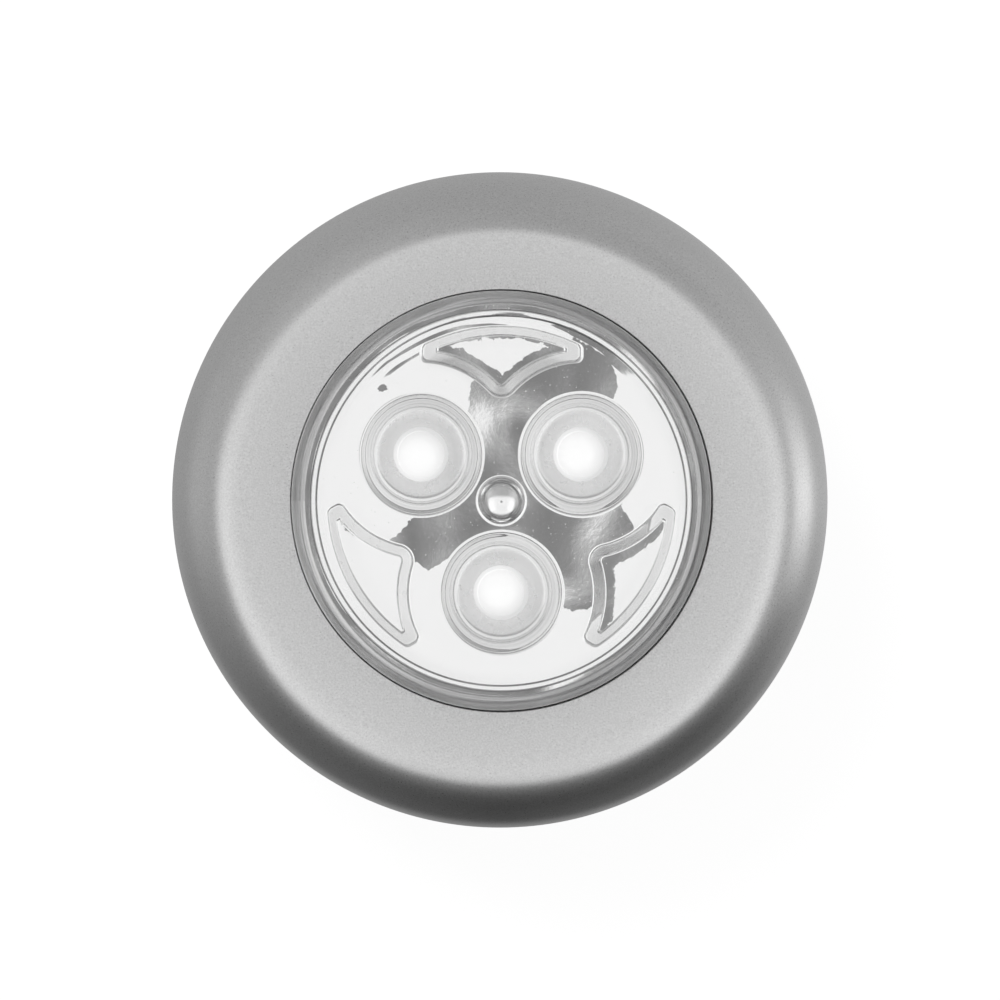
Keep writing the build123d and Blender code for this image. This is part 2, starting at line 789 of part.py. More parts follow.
def wing_outline(level, outer_radius, cup_clear_radius, half_width, tip_round, nose_round):
    """The wing shape at one height: a circle cut back round the cups, cropped and rounded."""
    with BuildSketch(Plane.XY.offset(level)) as outline:
        with Locations((0, (outer_radius + cup_row_y) / 2)):
            Rectangle(2 * half_width, outer_radius - cup_row_y)
        Circle(outer_radius, mode=Mode.INTERSECT)
        with Locations(*cup_centres):
            Circle(cup_clear_radius, mode=Mode.SUBTRACT)
        fillet(outline.vertices().sort_by(Axis.Y)[1:], tip_round)
        fillet(outline.vertices().sort_by(Axis.Y)[0], nose_round)
    return outline.sketch


with BuildPart() as wing_recess:
    add(wing_outline(wing_floor, wing_floor_outer_radius, wing_floor_cup_radius,
                     wing_floor_half_width, wing_floor_tip_round, wing_floor_nose_round))
    add(wing_outline(reflector_face, wing_outer_radius, wing_cup_radius, wing_half_width,
                     wing_tip_round, wing_nose_round))
    loft(ruled=True)

with BuildPart() as wing_pad:
    add(wing_outline(wing_underside, wing_outer_radius, wing_cup_radius, wing_half_width,
                     wing_tip_round, wing_nose_round))
    extrude(amount=reflector_underside - wing_underside)

# Reflector: revolved plate with rim, skirt and lip, then cups, wings, dome and posts.
cup_floor = reflector_face - cup_depth
with BuildPart() as reflector:
    lip_top = reflector_face - reflector_skirt_depth + reflector_lip_height
    skirt_bottom = reflector_face - reflector_skirt_depth
    with BuildSketch(Plane.XZ):
        with BuildLine():
            Line((0, reflector_underside), (0, reflector_face))
            Line((0, reflector_face), (reflector_face_radius, reflector_face))
            RadiusArc(
                (reflector_face_radius, reflector_face),
                (reflector_skirt_radius, reflector_face - rim_round),
                rim_round,
            )
            Polyline(
                (reflector_skirt_radius, reflector_face - rim_round),
                (reflector_skirt_radius, lip_top),
                (reflector_lip_radius, lip_top),
                (reflector_lip_radius, skirt_bottom),
                (reflector_skirt_radius - reflector_skirt_wall, skirt_bottom),
                (reflector_skirt_radius - reflector_skirt_wall, reflector_underside),
                (0, reflector_underside),
            )
        make_face()
    revolve(axis=Axis.Z)
    with PolarLocations(0, spring_count):
        add(wing_pad.part)
    with BuildSketch(Plane.XY.offset(wing_underside)):
        with PolarLocations(spring_pitch_radius, spring_count, start_angle=spring_first_angle):
            Circle(spring_seat_radius)
    extrude(amount=reflector_underside - wing_underside)
    with BuildSketch(Plane.XY.offset(wing_underside)):
        with PolarLocations(spring_pitch_radius, spring_count, start_angle=spring_first_angle):
            Circle(peg_radius)
    extrude(amount=-peg_length)
    with BuildSketch(Plane.XY.offset(reflector_underside)):
        Circle(press_post_radius)
    extrude(amount=-press_post_length)
    for middle_x, middle_y in cup_centres:
        cup_plane = upright((middle_x, middle_y, cup_floor))
        cup_axis = Axis((middle_x, middle_y, cup_floor), (0, 0, 1))
        with BuildSketch(cup_plane):
            with BuildLine():
                cup_middle = (
                    (cup_floor_radius + cup_radius) / 2 + cup_wall + cup_bulge,
                    cup_depth / 2,
                )
                ThreePointArc(
                    (cup_floor_radius + cup_wall, 0), cup_middle, (cup_radius + cup_wall, cup_depth)
                )
                Polyline(
                    (cup_radius + cup_wall, cup_depth),
                    (0, cup_depth),
                    (0, -cup_floor_thickness),
                    (cup_floor_radius + cup_wall, -cup_floor_thickness),
                    (cup_floor_radius + cup_wall, 0),
                )
            make_face()
        revolve(axis=cup_axis)
        with BuildSketch(cup_plane):
            with BuildLine():
                bowl_middle = ((cup_floor_radius + cup_radius) / 2 + cup_bulge, cup_depth / 2)
                ThreePointArc((cup_floor_radius, 0), bowl_middle, (cup_radius, cup_depth))
                Polyline(
                    (cup_radius, cup_depth),
                    (0, cup_depth),
                    (0, -cup_floor_thickness),
                    (cup_hole_radius, -cup_floor_thickness),
                    (cup_hole_radius, -cup_dish),
                    (cup_floor_radius, 0),
                )
            make_face()
        revolve(axis=cup_axis, mode=Mode.SUBTRACT)
    with PolarLocations(0, spring_count):
        add(wing_recess.part, mode=Mode.SUBTRACT)
    face_edges = reflector.edges().group_by(Axis.Z)[-1]
    rim_edge = face_edges.filter_by(lambda edge: edge.length > math.pi * reflector_face_radius)
    cup_edges = face_edges.filter_by(
        lambda edge: abs(edge.length - 2 * math.pi * cup_radius) < cup_edge_round
    )
    wing_edges = face_edges.filter_by(lambda edge: edge not in rim_edge and edge not in cup_edges)
    fillet(cup_edges, cup_edge_round)
    fillet(wing_edges, wing_edge_round)
    with BuildSketch(Plane.XZ):
        with BuildLine():
            cap_arc(dome_radius, dome_height, reflector_face + dome_height)
            Polyline(
                (dome_radius, reflector_face),
                (dome_radius, reflector_underside),
                (0, reflector_underside),
                (0, reflector_face + dome_height),
            )
        make_face()
    revolve(axis=Axis.Z)
    dome_foot = reflector.edges().filter_by(GeomType.CIRCLE).filter_by(
        lambda edge: abs(edge.radius - dome_radius) < dome_fillet
        and abs(edge.center().Z - reflector_face) < dome_fillet
    )
    fillet(dome_foot, dome_fillet)
write(reflector, "reflector")

# Clear lens: a disc with a skirt, a retaining flange outside it and catches inside it.
lens_step = lip_top + lens_seat_gap
lens_bottom = skirt_bottom - lens_skirt_below_lip
flange_top = housing_underside - lens_flange_gap
with BuildPart() as clear_lens:
    with BuildSketch(Plane.XZ) as lens_section:
        with BuildLine():
            Polyline(
                (0, lens_underside),
                (lens_skirt_radius, lens_underside),
                (lens_skirt_radius, lens_step),
                (lens_radius - lens_step_wall, lens_step),
                (lens_radius - lens_step_wall, lens_bottom),
                (lens_radius, lens_bottom),
                (lens_radius, flange_top - lens_flange_thickness),
                (lens_radius + lens_flange_width, flange_top - lens_flange_thickness),
                (lens_radius + lens_flange_width, flange_top),
                (lens_radius, flange_top),
                (lens_radius, lens_top),
                (0, lens_top),
                (0, lens_underside),
            )
        make_face()
        top_corner = lens_section.vertices().group_by(Axis.Y)[-1].sort_by(Axis.X)[-1]
        fillet(top_corner, lens_edge_round)
    revolve(axis=Axis.Z)
    catch_outer = lens_radius - lens_step_wall / 2
    catch_reach = lens_step_wall / 2 + catch_depth
    with BuildSketch(Plane.XY.offset(lens_bottom)):
        with PolarLocations(catch_outer - catch_reach / 2, catch_count):
            Rectangle(catch_reach, catch_width)
    extrude(amount=catch_height)
write(clear_lens, "clear_lens")

print("height over all:", round(lens_top, 2), "housing top:", round(housing_top, 2))
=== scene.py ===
import json
import math

import bmesh
import bpy
from mathutils import Matrix, Vector


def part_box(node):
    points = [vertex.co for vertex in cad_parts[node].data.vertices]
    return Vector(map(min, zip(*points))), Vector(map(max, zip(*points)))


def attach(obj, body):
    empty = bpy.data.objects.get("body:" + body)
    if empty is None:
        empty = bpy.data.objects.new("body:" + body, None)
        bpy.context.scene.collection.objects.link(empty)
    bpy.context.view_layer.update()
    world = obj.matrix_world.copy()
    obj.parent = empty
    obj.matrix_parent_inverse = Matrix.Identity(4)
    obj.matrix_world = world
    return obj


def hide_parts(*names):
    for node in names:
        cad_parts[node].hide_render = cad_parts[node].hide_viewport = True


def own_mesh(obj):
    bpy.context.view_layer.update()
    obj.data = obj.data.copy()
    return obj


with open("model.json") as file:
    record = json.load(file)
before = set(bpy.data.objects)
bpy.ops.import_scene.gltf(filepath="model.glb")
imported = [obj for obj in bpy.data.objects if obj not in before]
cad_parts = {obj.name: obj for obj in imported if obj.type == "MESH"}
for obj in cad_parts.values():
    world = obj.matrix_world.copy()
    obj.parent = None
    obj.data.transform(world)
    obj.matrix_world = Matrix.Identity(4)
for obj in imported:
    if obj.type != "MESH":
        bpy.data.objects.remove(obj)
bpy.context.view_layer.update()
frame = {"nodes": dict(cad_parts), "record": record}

# A round stick-on light seen straight from the front. All lengths are in metres; z = 0 is the wall.
mm = 0.001
full_turn = 2 * math.pi
quarter_turn = math.pi / 2
ring_steps = 240
small_ring_steps = 96
merge_distance = 0.002 * mm
sharp_angle = math.radians(35)

# Heights and radii read from the frame.
housing_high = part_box("outer_housing")[1]
lens_low, lens_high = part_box("clear_lens")
reflector_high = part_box("reflector")[1]
cover_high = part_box("back_cover")[1]
pad_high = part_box("adhesive_pad")[1]
led_low, led_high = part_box("led_lower")

housing_radius = housing_high.x
housing_top = housing_high.z
lens_top = lens_high.z
lens_flange_radius = lens_high.x
pad_thickness = pad_high.z

# Housing.
housing_foot_radius = 33.6 * mm
housing_wall = 1.6 * mm
shoulder_width = 6.6 * mm
shoulder_height = 10.0 * mm
window_radius = 21.8 * mm
window_edge_round = 0.12 * mm
crown_drop = 0.9 * mm
crown_steps = 12
shoulder_steps = 32
foot_edge_round = 0.6 * mm
ledge_radius = 30.2 * mm
ledge_height = 1.7 * mm
boss_radius = 2.6 * mm
boss_hole_radius = 1.15 * mm
boss_hole_depth = 5.9 * mm
boss_pitch_radius = 27.0 * mm
boss_angle = math.radians(35)
tray_deck_top = 14.7 * mm

# Back cover and its bayonet.
cover_radius = cover_high.x
cover_thickness = 1.6 * mm
cover_edge_chamfer = 0.4 * mm
cover_ring_radius = 29.4 * mm
cover_ring_wall = 1.2 * mm
lug_radius = 31.6 * mm
lug_width = 8.0 * mm
lug_lift = 0.3 * mm
lug_height = 1.3 * mm
notch_clearance = 0.5 * mm
bayonet_count = 3
bayonet_angle = math.radians(90)
unlock_angle = math.radians(20)
stop_width = 1.2 * mm
stop_depth = 1.6 * mm
stop_clearance = 0.3 * mm

# Lens.
lens_radius = 21.71 * mm
lens_offset = (-0.05 * mm, 0.025 * mm)
lens_thickness = 1.5 * mm
lens_edge_round = 0.9 * mm
lens_skirt_wall = 1.45 * mm
lens_step_wall = 0.9 * mm
lens_step_height = 1.55 * mm
lens_flange_thickness = 1.2 * mm
lens_flange_gap = 0.1 * mm
lens_small_round = 0.12 * mm
lens_seam = 0.03 * mm
lens_skirt_slope = math.tan(math.radians(23))
catch_count = 6
catch_width = 3.0 * mm
catch_height = 0.5 * mm
catch_depth = 0.35 * mm

# Reflector.
dome_radius = 2.4 * mm
dome_height = 1.4 * mm
dome_fillet = 0.48 * mm
reflector_face = reflector_high.z - dome_height
reflector_face_radius = 19.0 * mm
rim_round = 0.8 * mm
skirt_depth = 2.9 * mm
skirt_lip_width = 0.6 * mm
skirt_lip_height = 0.8 * mm
reflector_wall = 0.6 * mm
cup_pitch_radius = 9.55 * mm
cup_first_angle = math.radians(30)
cup_count = 3
cup_radius = 6.1 * mm
cup_floor_radius = 4.2 * mm
cup_depth = 3.3 * mm
cup_lip_round = 0.35 * mm
cup_bulge = 0.25 * mm
cup_foot_round = 0.8 * mm
cup_hole_wall = 0.3 * mm
cup_hole_radius = 2.84 * mm
cup_dish = 0.15 * mm
cup_ring_width = 0.45 * mm
rim_step_radius = 19.05 * mm
rim_step_width = 0.2 * mm
rim_step_depth = 0.3 * mm
rim_edge_round = 0.2 * mm
# How far the metallised skin's normal leans outwards off its level part, and upwards on the wings' walls.
face_fall = 0.085
outer_wall_lift = 5.5
inner_wall_lift = 2.8
# Places where its finish changes: distances from the axis or from a cup's middle, and heights in the view.
outer_wall_span = (15.3 * mm, 16.6 * mm)
wing_divide = 1.0 * mm
rim_streak_span = (17.0 * mm, 17.6 * mm)
rim_streak_height = (11.5 * mm, 14.0 * mm)
cup_ring_edge = 0.03 * mm
# cup_floor_span and the cup lip spans also mark where the base colour is darkened in rings as painted shade.
cup_floor_span = (4.9 * mm, 4.3 * mm)
cup_lip_start = (5.1 * mm, 5.6 * mm)
cup_lip_end = (6.5 * mm, 6.1 * mm)
wave_height = 0.8 * mm
scuff_height = 0.004 * mm
# How far the skin's level part reaches from the axis, as (azimuth in degrees, millimetres) pairs.
level_reach = [
    (0, 12.0), (2, 5.0), (40, 5.0), (43, 16.6), (52, 18.4), (66, 18.4), (72, 15.0), (90, 15.0),
    (104, 12.5), (112, 9.0), (118, 5.0), (184, 5.0), (190, 8.5), (203, 13.5), (214, 11.0), (224, 10.6),
    (230, 6.0), (294, 5.0), (299, 12.6), (304, 13.8), (318, 15.0), (342, 15.0), (352, 13.4), (360, 12.0),
]
edge_warp = 0.8 * mm
edge_softness = 0.07 * mm
face_spot = Vector((-12.3, 11.7)) * mm
face_spot_radius = 0.5 * mm
# How far the level part runs over a wing's floor from its walls, as (azimuth in degrees, millimetres) pairs,
# and what is taken off both tables, so that a 0 keeps the ragged edge off the floor.
cup_side_fringe = [
    (0, 0.5), (20, 0.0), (60, 1.1), (90, 1.2), (120, 0.9), (140, 0.0), (186, 0.4), (200, 0.4), (210, 0.0),
    (285, 0.2), (296, 0.95), (330, 1.45), (352, 1.1), (360, 0.5),
]
outer_fringe = [(0, 0.0), (58, 0.0), (64, 0.7), (78, 0.6), (104, 0.55), (118, 0.45), (124, 0.0), (360, 0.0)]
fringe_loss = 0.3 * mm
# A wing's outline, at its opening and at its floor, and the shares of its depth that its edges' rounds take.
wing_outer_radii = (18.05 * mm, 17.1 * mm)
wing_cup_clears = (9.6 * mm, 10.8 * mm)
wing_half_widths = (8.3 * mm, 6.6 * mm)
wing_tip_rounds = (0.68 * mm, 0.1 * mm)
wing_nose_rounds = (1.7 * mm, 0.5 * mm)
wing_depth = 1.6 * mm
wing_edge_share = 0.12
wing_foot_share = 0.08

# LEDs.
led_radius = 2.4 * mm
led_flange_radius = 2.9 * mm
led_flange_thickness = 0.55 * mm
led_crown_height = 1.3 * mm
# Where the lit cores of the right, left and lower LED look off the middle of their cups.
led_core_offsets = [(-0.4 * mm, 0.0), (-0.3 * mm, -0.3 * mm), (-0.25 * mm, 0.25 * mm)]

# Adhesive pad.
pad_edge_round = 0.08 * mm

# Camera and studio. The view's width is at the height of the housing's edge.
camera_distance = 3.0
view_width = 103.7 * mm
camera_lean_x = math.radians(-1.0)
camera_lean_y = math.radians(0.5)
sensor_width = 36.0
tent_radius = 0.55
tent_height = 0.62
tent_foot_gap = 0.5 * mm
tent_foot_height = 0.4 * mm
floor_level = 0.89
floor_half_width = 3.0
floor_gap = 0.02 * mm
room_level = 0.6
lamp_aim_height = 0.02
camera_clip_start = 0.01
# The tent: where its ground changes tone, in metres from the axis, and how far off its axis the camera shows.
foot_to_near = (0.040, 0.048)
near_to_stripe = (0.055, 0.085)
least_length = 0.001
camera_spot = 0.1


def polar(radius, angle, height=0.0):
    """A point on a circle about the light's axis."""
    return Vector((radius * math.cos(angle), radius * math.sin(angle), height))


class Value:
    """A socket inside a finish, so that its maths reads as plain expressions."""

    def __init__(self, finish, socket):
        self.finish = finish
        self.socket = socket

    def combine(self, operation, first, second):
        return self.finish.node("ShaderNodeMath", {"operation": operation}, {0: first, 1: second})

    def __add__(self, other):
        return self.combine("ADD", self, other)

    def __radd__(self, other):
        return self.combine("ADD", other, self)

    def __sub__(self, other):
        return self.combine("SUBTRACT", self, other)

    def __rsub__(self, other):
        return self.combine("SUBTRACT", other, self)

    def __mul__(self, other):
        return self.combine("MULTIPLY", self, other)

    def __rmul__(self, other):
        return self.combine("MULTIPLY", other, self)

    def __truediv__(self, other):
        return self.combine("DIVIDE", self, other)


class Finish:
    """The node tree of one material or of the world."""

    def __init__(self, tree):
        self.tree = tree
        self.tree.nodes.clear()

    def node(self, kind, settings=None, inputs=None, output=0):
        """Adds a node, sets it up, links or fills its sockets and returns one of its outputs."""
        made = self.tree.nodes.new(kind)
        for name, setting in (settings or {}).items():
            if name == "stops":
                ramp = made.color_ramp
                for place, level in setting[2:]:
                    ramp.elements.new(place)
                for element, (place, level) in zip(ramp.elements, sorted(setting)):
                    element.position = place
                    element.color = (level, level, level, 1)
            else:
                setattr(made, name, setting)
        for name, value in (inputs or {}).items():
            if isinstance(value, Value):
                self.tree.links.new(value.socket, made.inputs[name])
            else:
                made.inputs[name].default_value = value
        return Value(self, made.outputs[output])

    def maths(self, operation, *inputs):
        return self.node("ShaderNodeMath", {"operation": operation}, dict(enumerate(inputs)))

    def vector_maths(self, operation, *inputs):
        return self.node("ShaderNodeVectorMath", {"operation": operation}, dict(enumerate(inputs)))

    def vector(self, x, y, z=0.0):
        return self.node("ShaderNodeCombineXYZ", None, {0: x, 1: y, 2: z})

    def length(self, x, y):
        return self.maths("SQRT", x * x + y * y)

    def even_grey(self, level):
        """A grey colour from a number."""
        return self.node("ShaderNodeCombineColor", None, {0: level, 1: level, 2: level})

    def ramp(self, factor, *stops):
        """A grey ramp, given as (place, level) stops."""
        settings = {"stops": list(stops)}
        return self.node("ShaderNodeValToRGB", settings, {"Fac": factor})

    def place(self):
        """The piece's own coordinates, in metres."""
        return self.node("ShaderNodeTexCoord", output="Object")

    def axes(self, vector):
        """The three parts of a vector."""
        split = self.node("ShaderNodeSeparateXYZ", None, {0: vector}).socket.node
        return [Value(self, socket) for socket in split.outputs]

    def noise(self, scale, detail=2.0, roughness=0.5, vector=None):
        inputs = {
            "Vector": vector or self.place(),
            "Scale": scale,
            "Detail": detail,
            "Roughness": roughness,
        }
        return self.node("ShaderNodeTexNoise", None, inputs)

    def smooth_step(self, value, low, high):
        """0 below one limit, 1 above the other, and smooth between them."""
        settings = {"interpolation_type": "SMOOTHSTEP"}
        return self.node("ShaderNodeMapRange", settings, {"Value": value, "From Min": low, "From Max": high})

    def blend(self, factor, first, second):
        """Goes from one colour or value to another."""
        inputs = {0: factor, 6: first, 7: second}
        return self.node("ShaderNodeMix", {"data_type": "RGBA"}, inputs, output=2)

    def bump(self, height, strength, distance, facing=None):
        inputs = {"Height": height, "Strength": strength, "Distance": distance}
        if facing:
            inputs["Normal"] = facing
        return self.node("ShaderNodeBump", None, inputs)

    def shader(self, **inputs):
        """A Principled shader; a word's underscores stand for spaces."""
        named = {name.replace("_", " "): value for name, value in inputs.items()}
        return self.node("ShaderNodeBsdfPrincipled", None, named)

    def surface(self, shader):
        self.node_output("ShaderNodeOutputMaterial", shader)

    def node_output(self, kind, shader):
        made = self.tree.nodes.new(kind)
        self.tree.links.new(shader.socket, made.inputs["Surface"])

    def seen_directly(self):
        """1 for what the camera sees, also in metal and through glass; 0 for light on a surface."""
        path = self.node("ShaderNodeLightPath").socket.node
        rays = ("Is Camera Ray", "Is Glossy Ray", "Is Transmission Ray")
        camera, glossy, through = [Value(self, path.outputs[name]) for name in rays]
        return self.maths("MINIMUM", camera + glossy + through, 1.0)


def grey(level):
    return (level, level, level, 1)


def new_finish(name):
    material = bpy.data.materials.new(name)
    material.use_nodes = True
    return material, Finish(material.node_tree)


def silver_paint():
    """Metallic silver paint on the housing, with its fine flake."""
    material, finish = new_finish("silver_paint")
    flake = finish.noise(5200, detail=3.0, roughness=0.7)
    drift = finish.noise(90)
    level = 0.6 + (flake - 0.5) * 0.44 + (drift - 0.5) * 0.03
    grain = finish.bump(flake, 0.25, 0.02 * mm)
    rough = 0.29 + (flake - 0.5) * 0.1
    finish.surface(
        finish.shader(Base_Color=finish.even_grey(level), Metallic=0.92, Roughness=rough, Normal=grain)
    )
    return material


def cup_gaps(finish, x, y, offsets=((0, 0), (0, 0), (0, 0))):
    """How far a place is from the nearest cup's middle, or from a spot beside it."""
    nearest = None
    for step in range(cup_count):
        centre = polar(cup_pitch_radius, cup_first_angle + step * full_turn / cup_count)
        gap = finish.length(x - (centre.x + offsets[step][0]), y - (centre.y + offsets[step][1]))
        nearest = gap if nearest is None else finish.maths("MINIMUM", nearest, gap)
    return nearest


def reach_round(finish, azimuth, pairs):
    """A reach in metres that depends on the azimuth, from (degrees, millimetres) pairs."""
    longest = 20
    stops = [(degrees / 360, reach / longest) for degrees, reach in pairs]
    return finish.ramp(azimuth, *stops) * (longest * mm)


def level_part(finish):
    """1 where the metallised face lies level, with a ragged edge; 0 where it falls away outwards."""
    place = finish.place()
    noise_sockets = {"Vector": place, "Scale": 800.0, "Detail": 5.0, "Roughness": 0.68}
    ragged = finish.node("ShaderNodeTexNoise", None, noise_sockets, output=1)
    shift = finish.vector_maths("SUBTRACT", ragged, (0.5, 0.5, 0.5))
    reach = (2 * edge_warp, 2 * edge_warp, 0)
    warped = finish.vector_maths("MULTIPLY_ADD", shift, reach, place)
    x, y, _ = finish.axes(warped)
    _, _, z = finish.axes(place)
    from_axis = finish.length(x, y)
    azimuth = finish.maths("FRACT", finish.maths("ARCTAN2", y, x) / full_turn + 1.0)
    beyond = from_axis - reach_round(finish, azimuth, level_reach)
    off_spot = finish.length(x - face_spot.x, y - face_spot.y) - face_spot_radius
    off_both = finish.maths("MINIMUM", beyond, off_spot)
    face = finish.smooth_step(off_both, edge_softness, -edge_softness)
    from_inner_wall = cup_gaps(finish, x, y) - wing_cup_clears[1]
    from_outer_wall = wing_outer_radii[1] - from_axis
    beside_inner = reach_round(finish, azimuth, cup_side_fringe) - from_inner_wall
    beside_outer = reach_round(finish, azimuth, outer_fringe) - from_outer_wall
    fringe = finish.maths("MAXIMUM", beside_inner, beside_outer) - fringe_loss
    floor = finish.smooth_step(fringe, -edge_softness, edge_softness)
    sunk = finish.smooth_step(z, reflector_face - 0.5 * wing_depth, reflector_face - 0.6 * wing_depth)
    return finish.maths("MAXIMUM", face * (1.0 - sunk), floor * sunk)


def wing_wall(finish, from_axis, z):
    """1 on the sloping walls of the wings, 0 on the face and on the wings' floors."""
    below_edge = finish.smooth_step(z, reflector_face - 0.1 * wing_depth, reflector_face - 0.25 * wing_depth)
    above_floor = finish.smooth_step(z, reflector_face - 0.9 * wing_depth, reflector_face - 0.8 * wing_depth)
    inside_rim = finish.smooth_step(from_axis, reflector_face_radius, reflector_face_radius - 0.2 * mm)
    return below_edge * above_floor * inside_rim


def mirror_facing(finish, x, y, level, in_cup, wall):
    """The metallised skin's normal: outwards off its level part, and up on the wings' walls."""
    from_axis = finish.length(x, y)
    fall = (1.0 - level) * (1.0 - in_cup) * face_fall
    settings = {"vector_type": "VECTOR", "convert_from": "OBJECT", "convert_to": "WORLD"}
    away = finish.vector(x / from_axis * fall, y / from_axis * fall)
    turned = finish.node("ShaderNodeVectorTransform", settings, {0: away})
    outer = finish.smooth_step(from_axis, *outer_wall_span)
    right_of_middle = finish.smooth_step(x, -wing_divide, wing_divide)
    below_middle = finish.smooth_step(y, wing_divide, -wing_divide)
    inner = (1.0 - outer) * (1.0 - right_of_middle * below_middle)
    raised = wall * (outer * outer_wall_lift + inner * inner_wall_lift)
    facing = finish.node("ShaderNodeNewGeometry", output="Normal")
    leaning = finish.vector_maths("ADD", facing, turned)
    leaning = finish.vector_maths("ADD", leaning, finish.vector(0.0, 0.0, raised))
    return finish.vector_maths("NORMALIZE", leaning)


def metallised_plastic():
    """Vacuum-metallised plastic: a mirror on the face, softer down in the cups, level in its middle; its
    colour carries painted shade in rings in the cups and on the wings' walls.
    """
    material, finish = new_finish("metallised_plastic")
    x, y, z = finish.axes(finish.place())
    from_axis = finish.length(x, y)
    azimuth = finish.maths("ARCTAN2", y, x)
    from_cup = cup_gaps(finish, x, y)
    cup_rim = cup_radius + cup_ring_width
    level = level_part(finish) * finish.smooth_step(from_cup, cup_rim, cup_rim + cup_ring_edge)
    streaks = finish.noise(1.0, vector=finish.vector(azimuth * 1.6, from_axis * 1500.0))
    rim_band = finish.smooth_step(from_axis, *rim_streak_span) * finish.smooth_step(y, *rim_streak_height)
    level = finish.maths("MAXIMUM", level, finish.smooth_step(streaks, 0.53, 0.56) * rim_band)
    in_cup = finish.smooth_step(from_cup, cup_radius, cup_radius - 0.4 * mm)
    wall = wing_wall(finish, from_axis, z) * (1.0 - in_cup)
    waves = (finish.noise(75, detail=1.0, roughness=0.4) - 0.5) * wave_height
    scuffs = finish.noise(1600, detail=3.0, roughness=0.6) * scuff_height
    skin = finish.bump(waves + scuffs, 1.0, 1.0, mirror_facing(finish, x, y, level, in_cup, wall))
    wing_floor = reflector_face - wing_depth
    down = finish.smooth_step(z, wing_floor - 0.1 * mm, wing_floor - 0.8 * mm)
    on_floor = down * finish.smooth_step(from_cup, *cup_floor_span)
    lip = finish.smooth_step(from_cup, *cup_lip_start) * finish.smooth_step(from_cup, *cup_lip_end)
    rings = finish.noise(1.0, vector=finish.vector(from_cup * 650.0, azimuth * 0.8))
    # Painted shade: the base colour is darkened in noisy rings on the cups' floors and round their lips, and
    # on the wings' sloping walls.
    tone_with_painted_shade = 0.96 - on_floor * (0.06 + rings * 0.2) - lip * (0.05 + rings * 0.24) - wall * 0.1
    haze = finish.smooth_step(finish.noise(900, detail=3.0), 0.55, 0.8)
    dust = finish.smooth_step(finish.noise(3400, roughness=0.7), 0.68, 0.74)
    rough = 0.03 + haze * 0.06 + dust * 0.35 + in_cup * 0.1 + on_floor * 0.14 + wall * 0.22
    finish.surface(
        finish.shader(Base_Color=finish.even_grey(tone_with_painted_shade), Metallic=1.0, Roughness=rough, Normal=skin)
    )
    return material


def clear_plastic():
    """Clear acrylic of the lens."""
    material, finish = new_finish("clear_plastic")
    finish.surface(
        finish.shader(Base_Color=grey(0.985), Roughness=0.0, IOR=1.49, Transmission_Weight=1.0)
    )
    return material


def frosted_plastic_painted_streaks():
    """The lens's textured wall: a milky, partly metallic grey whose light and dark streaks round it are
    painted reflection, standing in for what its clear edge refracts.
    """
    material, finish = new_finish("frosted_plastic_painted_streaks")
    x, y, z = finish.axes(finish.place())
    azimuth = finish.maths("ARCTAN2", y, x)
    around = finish.vector(azimuth * 0.6, finish.length(x, y) * 1800.0, z * 400.0)
    streaks = finish.noise(1.0, detail=3.0, roughness=0.6, vector=around)
    # Painted reflection: the streaky grey stands in for the light and dark that the lens's clear edge
    # refracts.
    tone = finish.ramp(streaks, (0.3, 0.38), (0.5, 0.6), (0.7, 0.85))
    finish.surface(
        finish.shader(
            Base_Color=tone, Metallic=0.75, Roughness=0.14 + streaks * 0.16,
            Normal=finish.bump(streaks, 1.0, 0.045 * mm),
        )
    )
    return material


def led_epoxy():
    """The lit LED: white over its chip, softer to its edge and down its side."""
    material, finish = new_finish("led_epoxy")
    x, y, _ = finish.axes(finish.place())
    from_chip = cup_gaps(finish, x, y, led_core_offsets) / led_flange_radius
    level = finish.ramp(
        from_chip, (0.0, 1.0), (0.5, 0.985), (0.66, 0.92), (0.8, 0.85), (0.92, 0.78), (1.0, 0.72)
    )
    finish.surface(
        finish.shader(Base_Color=grey(0.1), Roughness=0.3, Emission_Color=level, Emission_Strength=1.0)
    )
    return material


def moulded_plastic(name, level, texture_depth):
    """Matte moulded plastic with a fine spark-eroded texture."""
    material, finish = new_finish(name)
    texture = finish.noise(2600, detail=3.0)
    tone = finish.ramp(finish.noise(60), (0.3, level * 0.92), (0.7, level * 1.08))
    finish.surface(
        finish.shader(
            Base_Color=tone, Roughness=0.5 + texture * 0.16,
            Normal=finish.bump(texture, 0.5, texture_depth),
        )
    )
    return material


def foam_tape():
    """White closed-cell foam with a film face."""
    material, finish = new_finish("foam_tape")
    cells = finish.node(
        "ShaderNodeTexVoronoi", None, {"Vector": finish.place(), "Scale": 1900.0}
    )
    tone = finish.ramp(cells, (0.0, 0.70), (0.5, 0.84))
    finish.surface(
        finish.shader(Base_Color=tone, Roughness=0.8, Normal=finish.bump(cells, 0.4, 0.05 * mm))
    )
    return material


def bright_metal(name, level, roughness):
    """Drawn or plated metal with faint streaks along Y."""
    material, finish = new_finish(name)
    streak_place = finish.node(
        "ShaderNodeMapping", None, {"Vector": finish.place(), "Scale": (1.0, 0.08, 1.0)}
    )
    streaks = finish.noise(3000, detail=2.0, vector=streak_place)
    tone = finish.ramp(streaks, (0.3, level * 0.9), (0.7, level))
    finish.surface(
        finish.shader(
            Base_Color=tone, Metallic=1.0, Roughness=roughness + (streaks - 0.5) * 0.1,
            Normal=finish.bump(streaks, 0.2, 0.01 * mm),
        )
    )
    return material


def coloured(name, colour, roughness):
    """A plain coloured plastic with a slightly uneven skin."""
    material, finish = new_finish(name)
    skin = finish.noise(1500, detail=2.0)
    darker = tuple(part * 0.85 for part in colour)
    tone = finish.blend(skin, (*darker, 1), (*colour, 1))
    finish.surface(
        finish.shader(
            Base_Color=tone, Roughness=roughness + (skin - 0.5) * 0.1,
            Normal=finish.bump(skin, 0.2, 0.01 * mm),
        )
    )
    return material


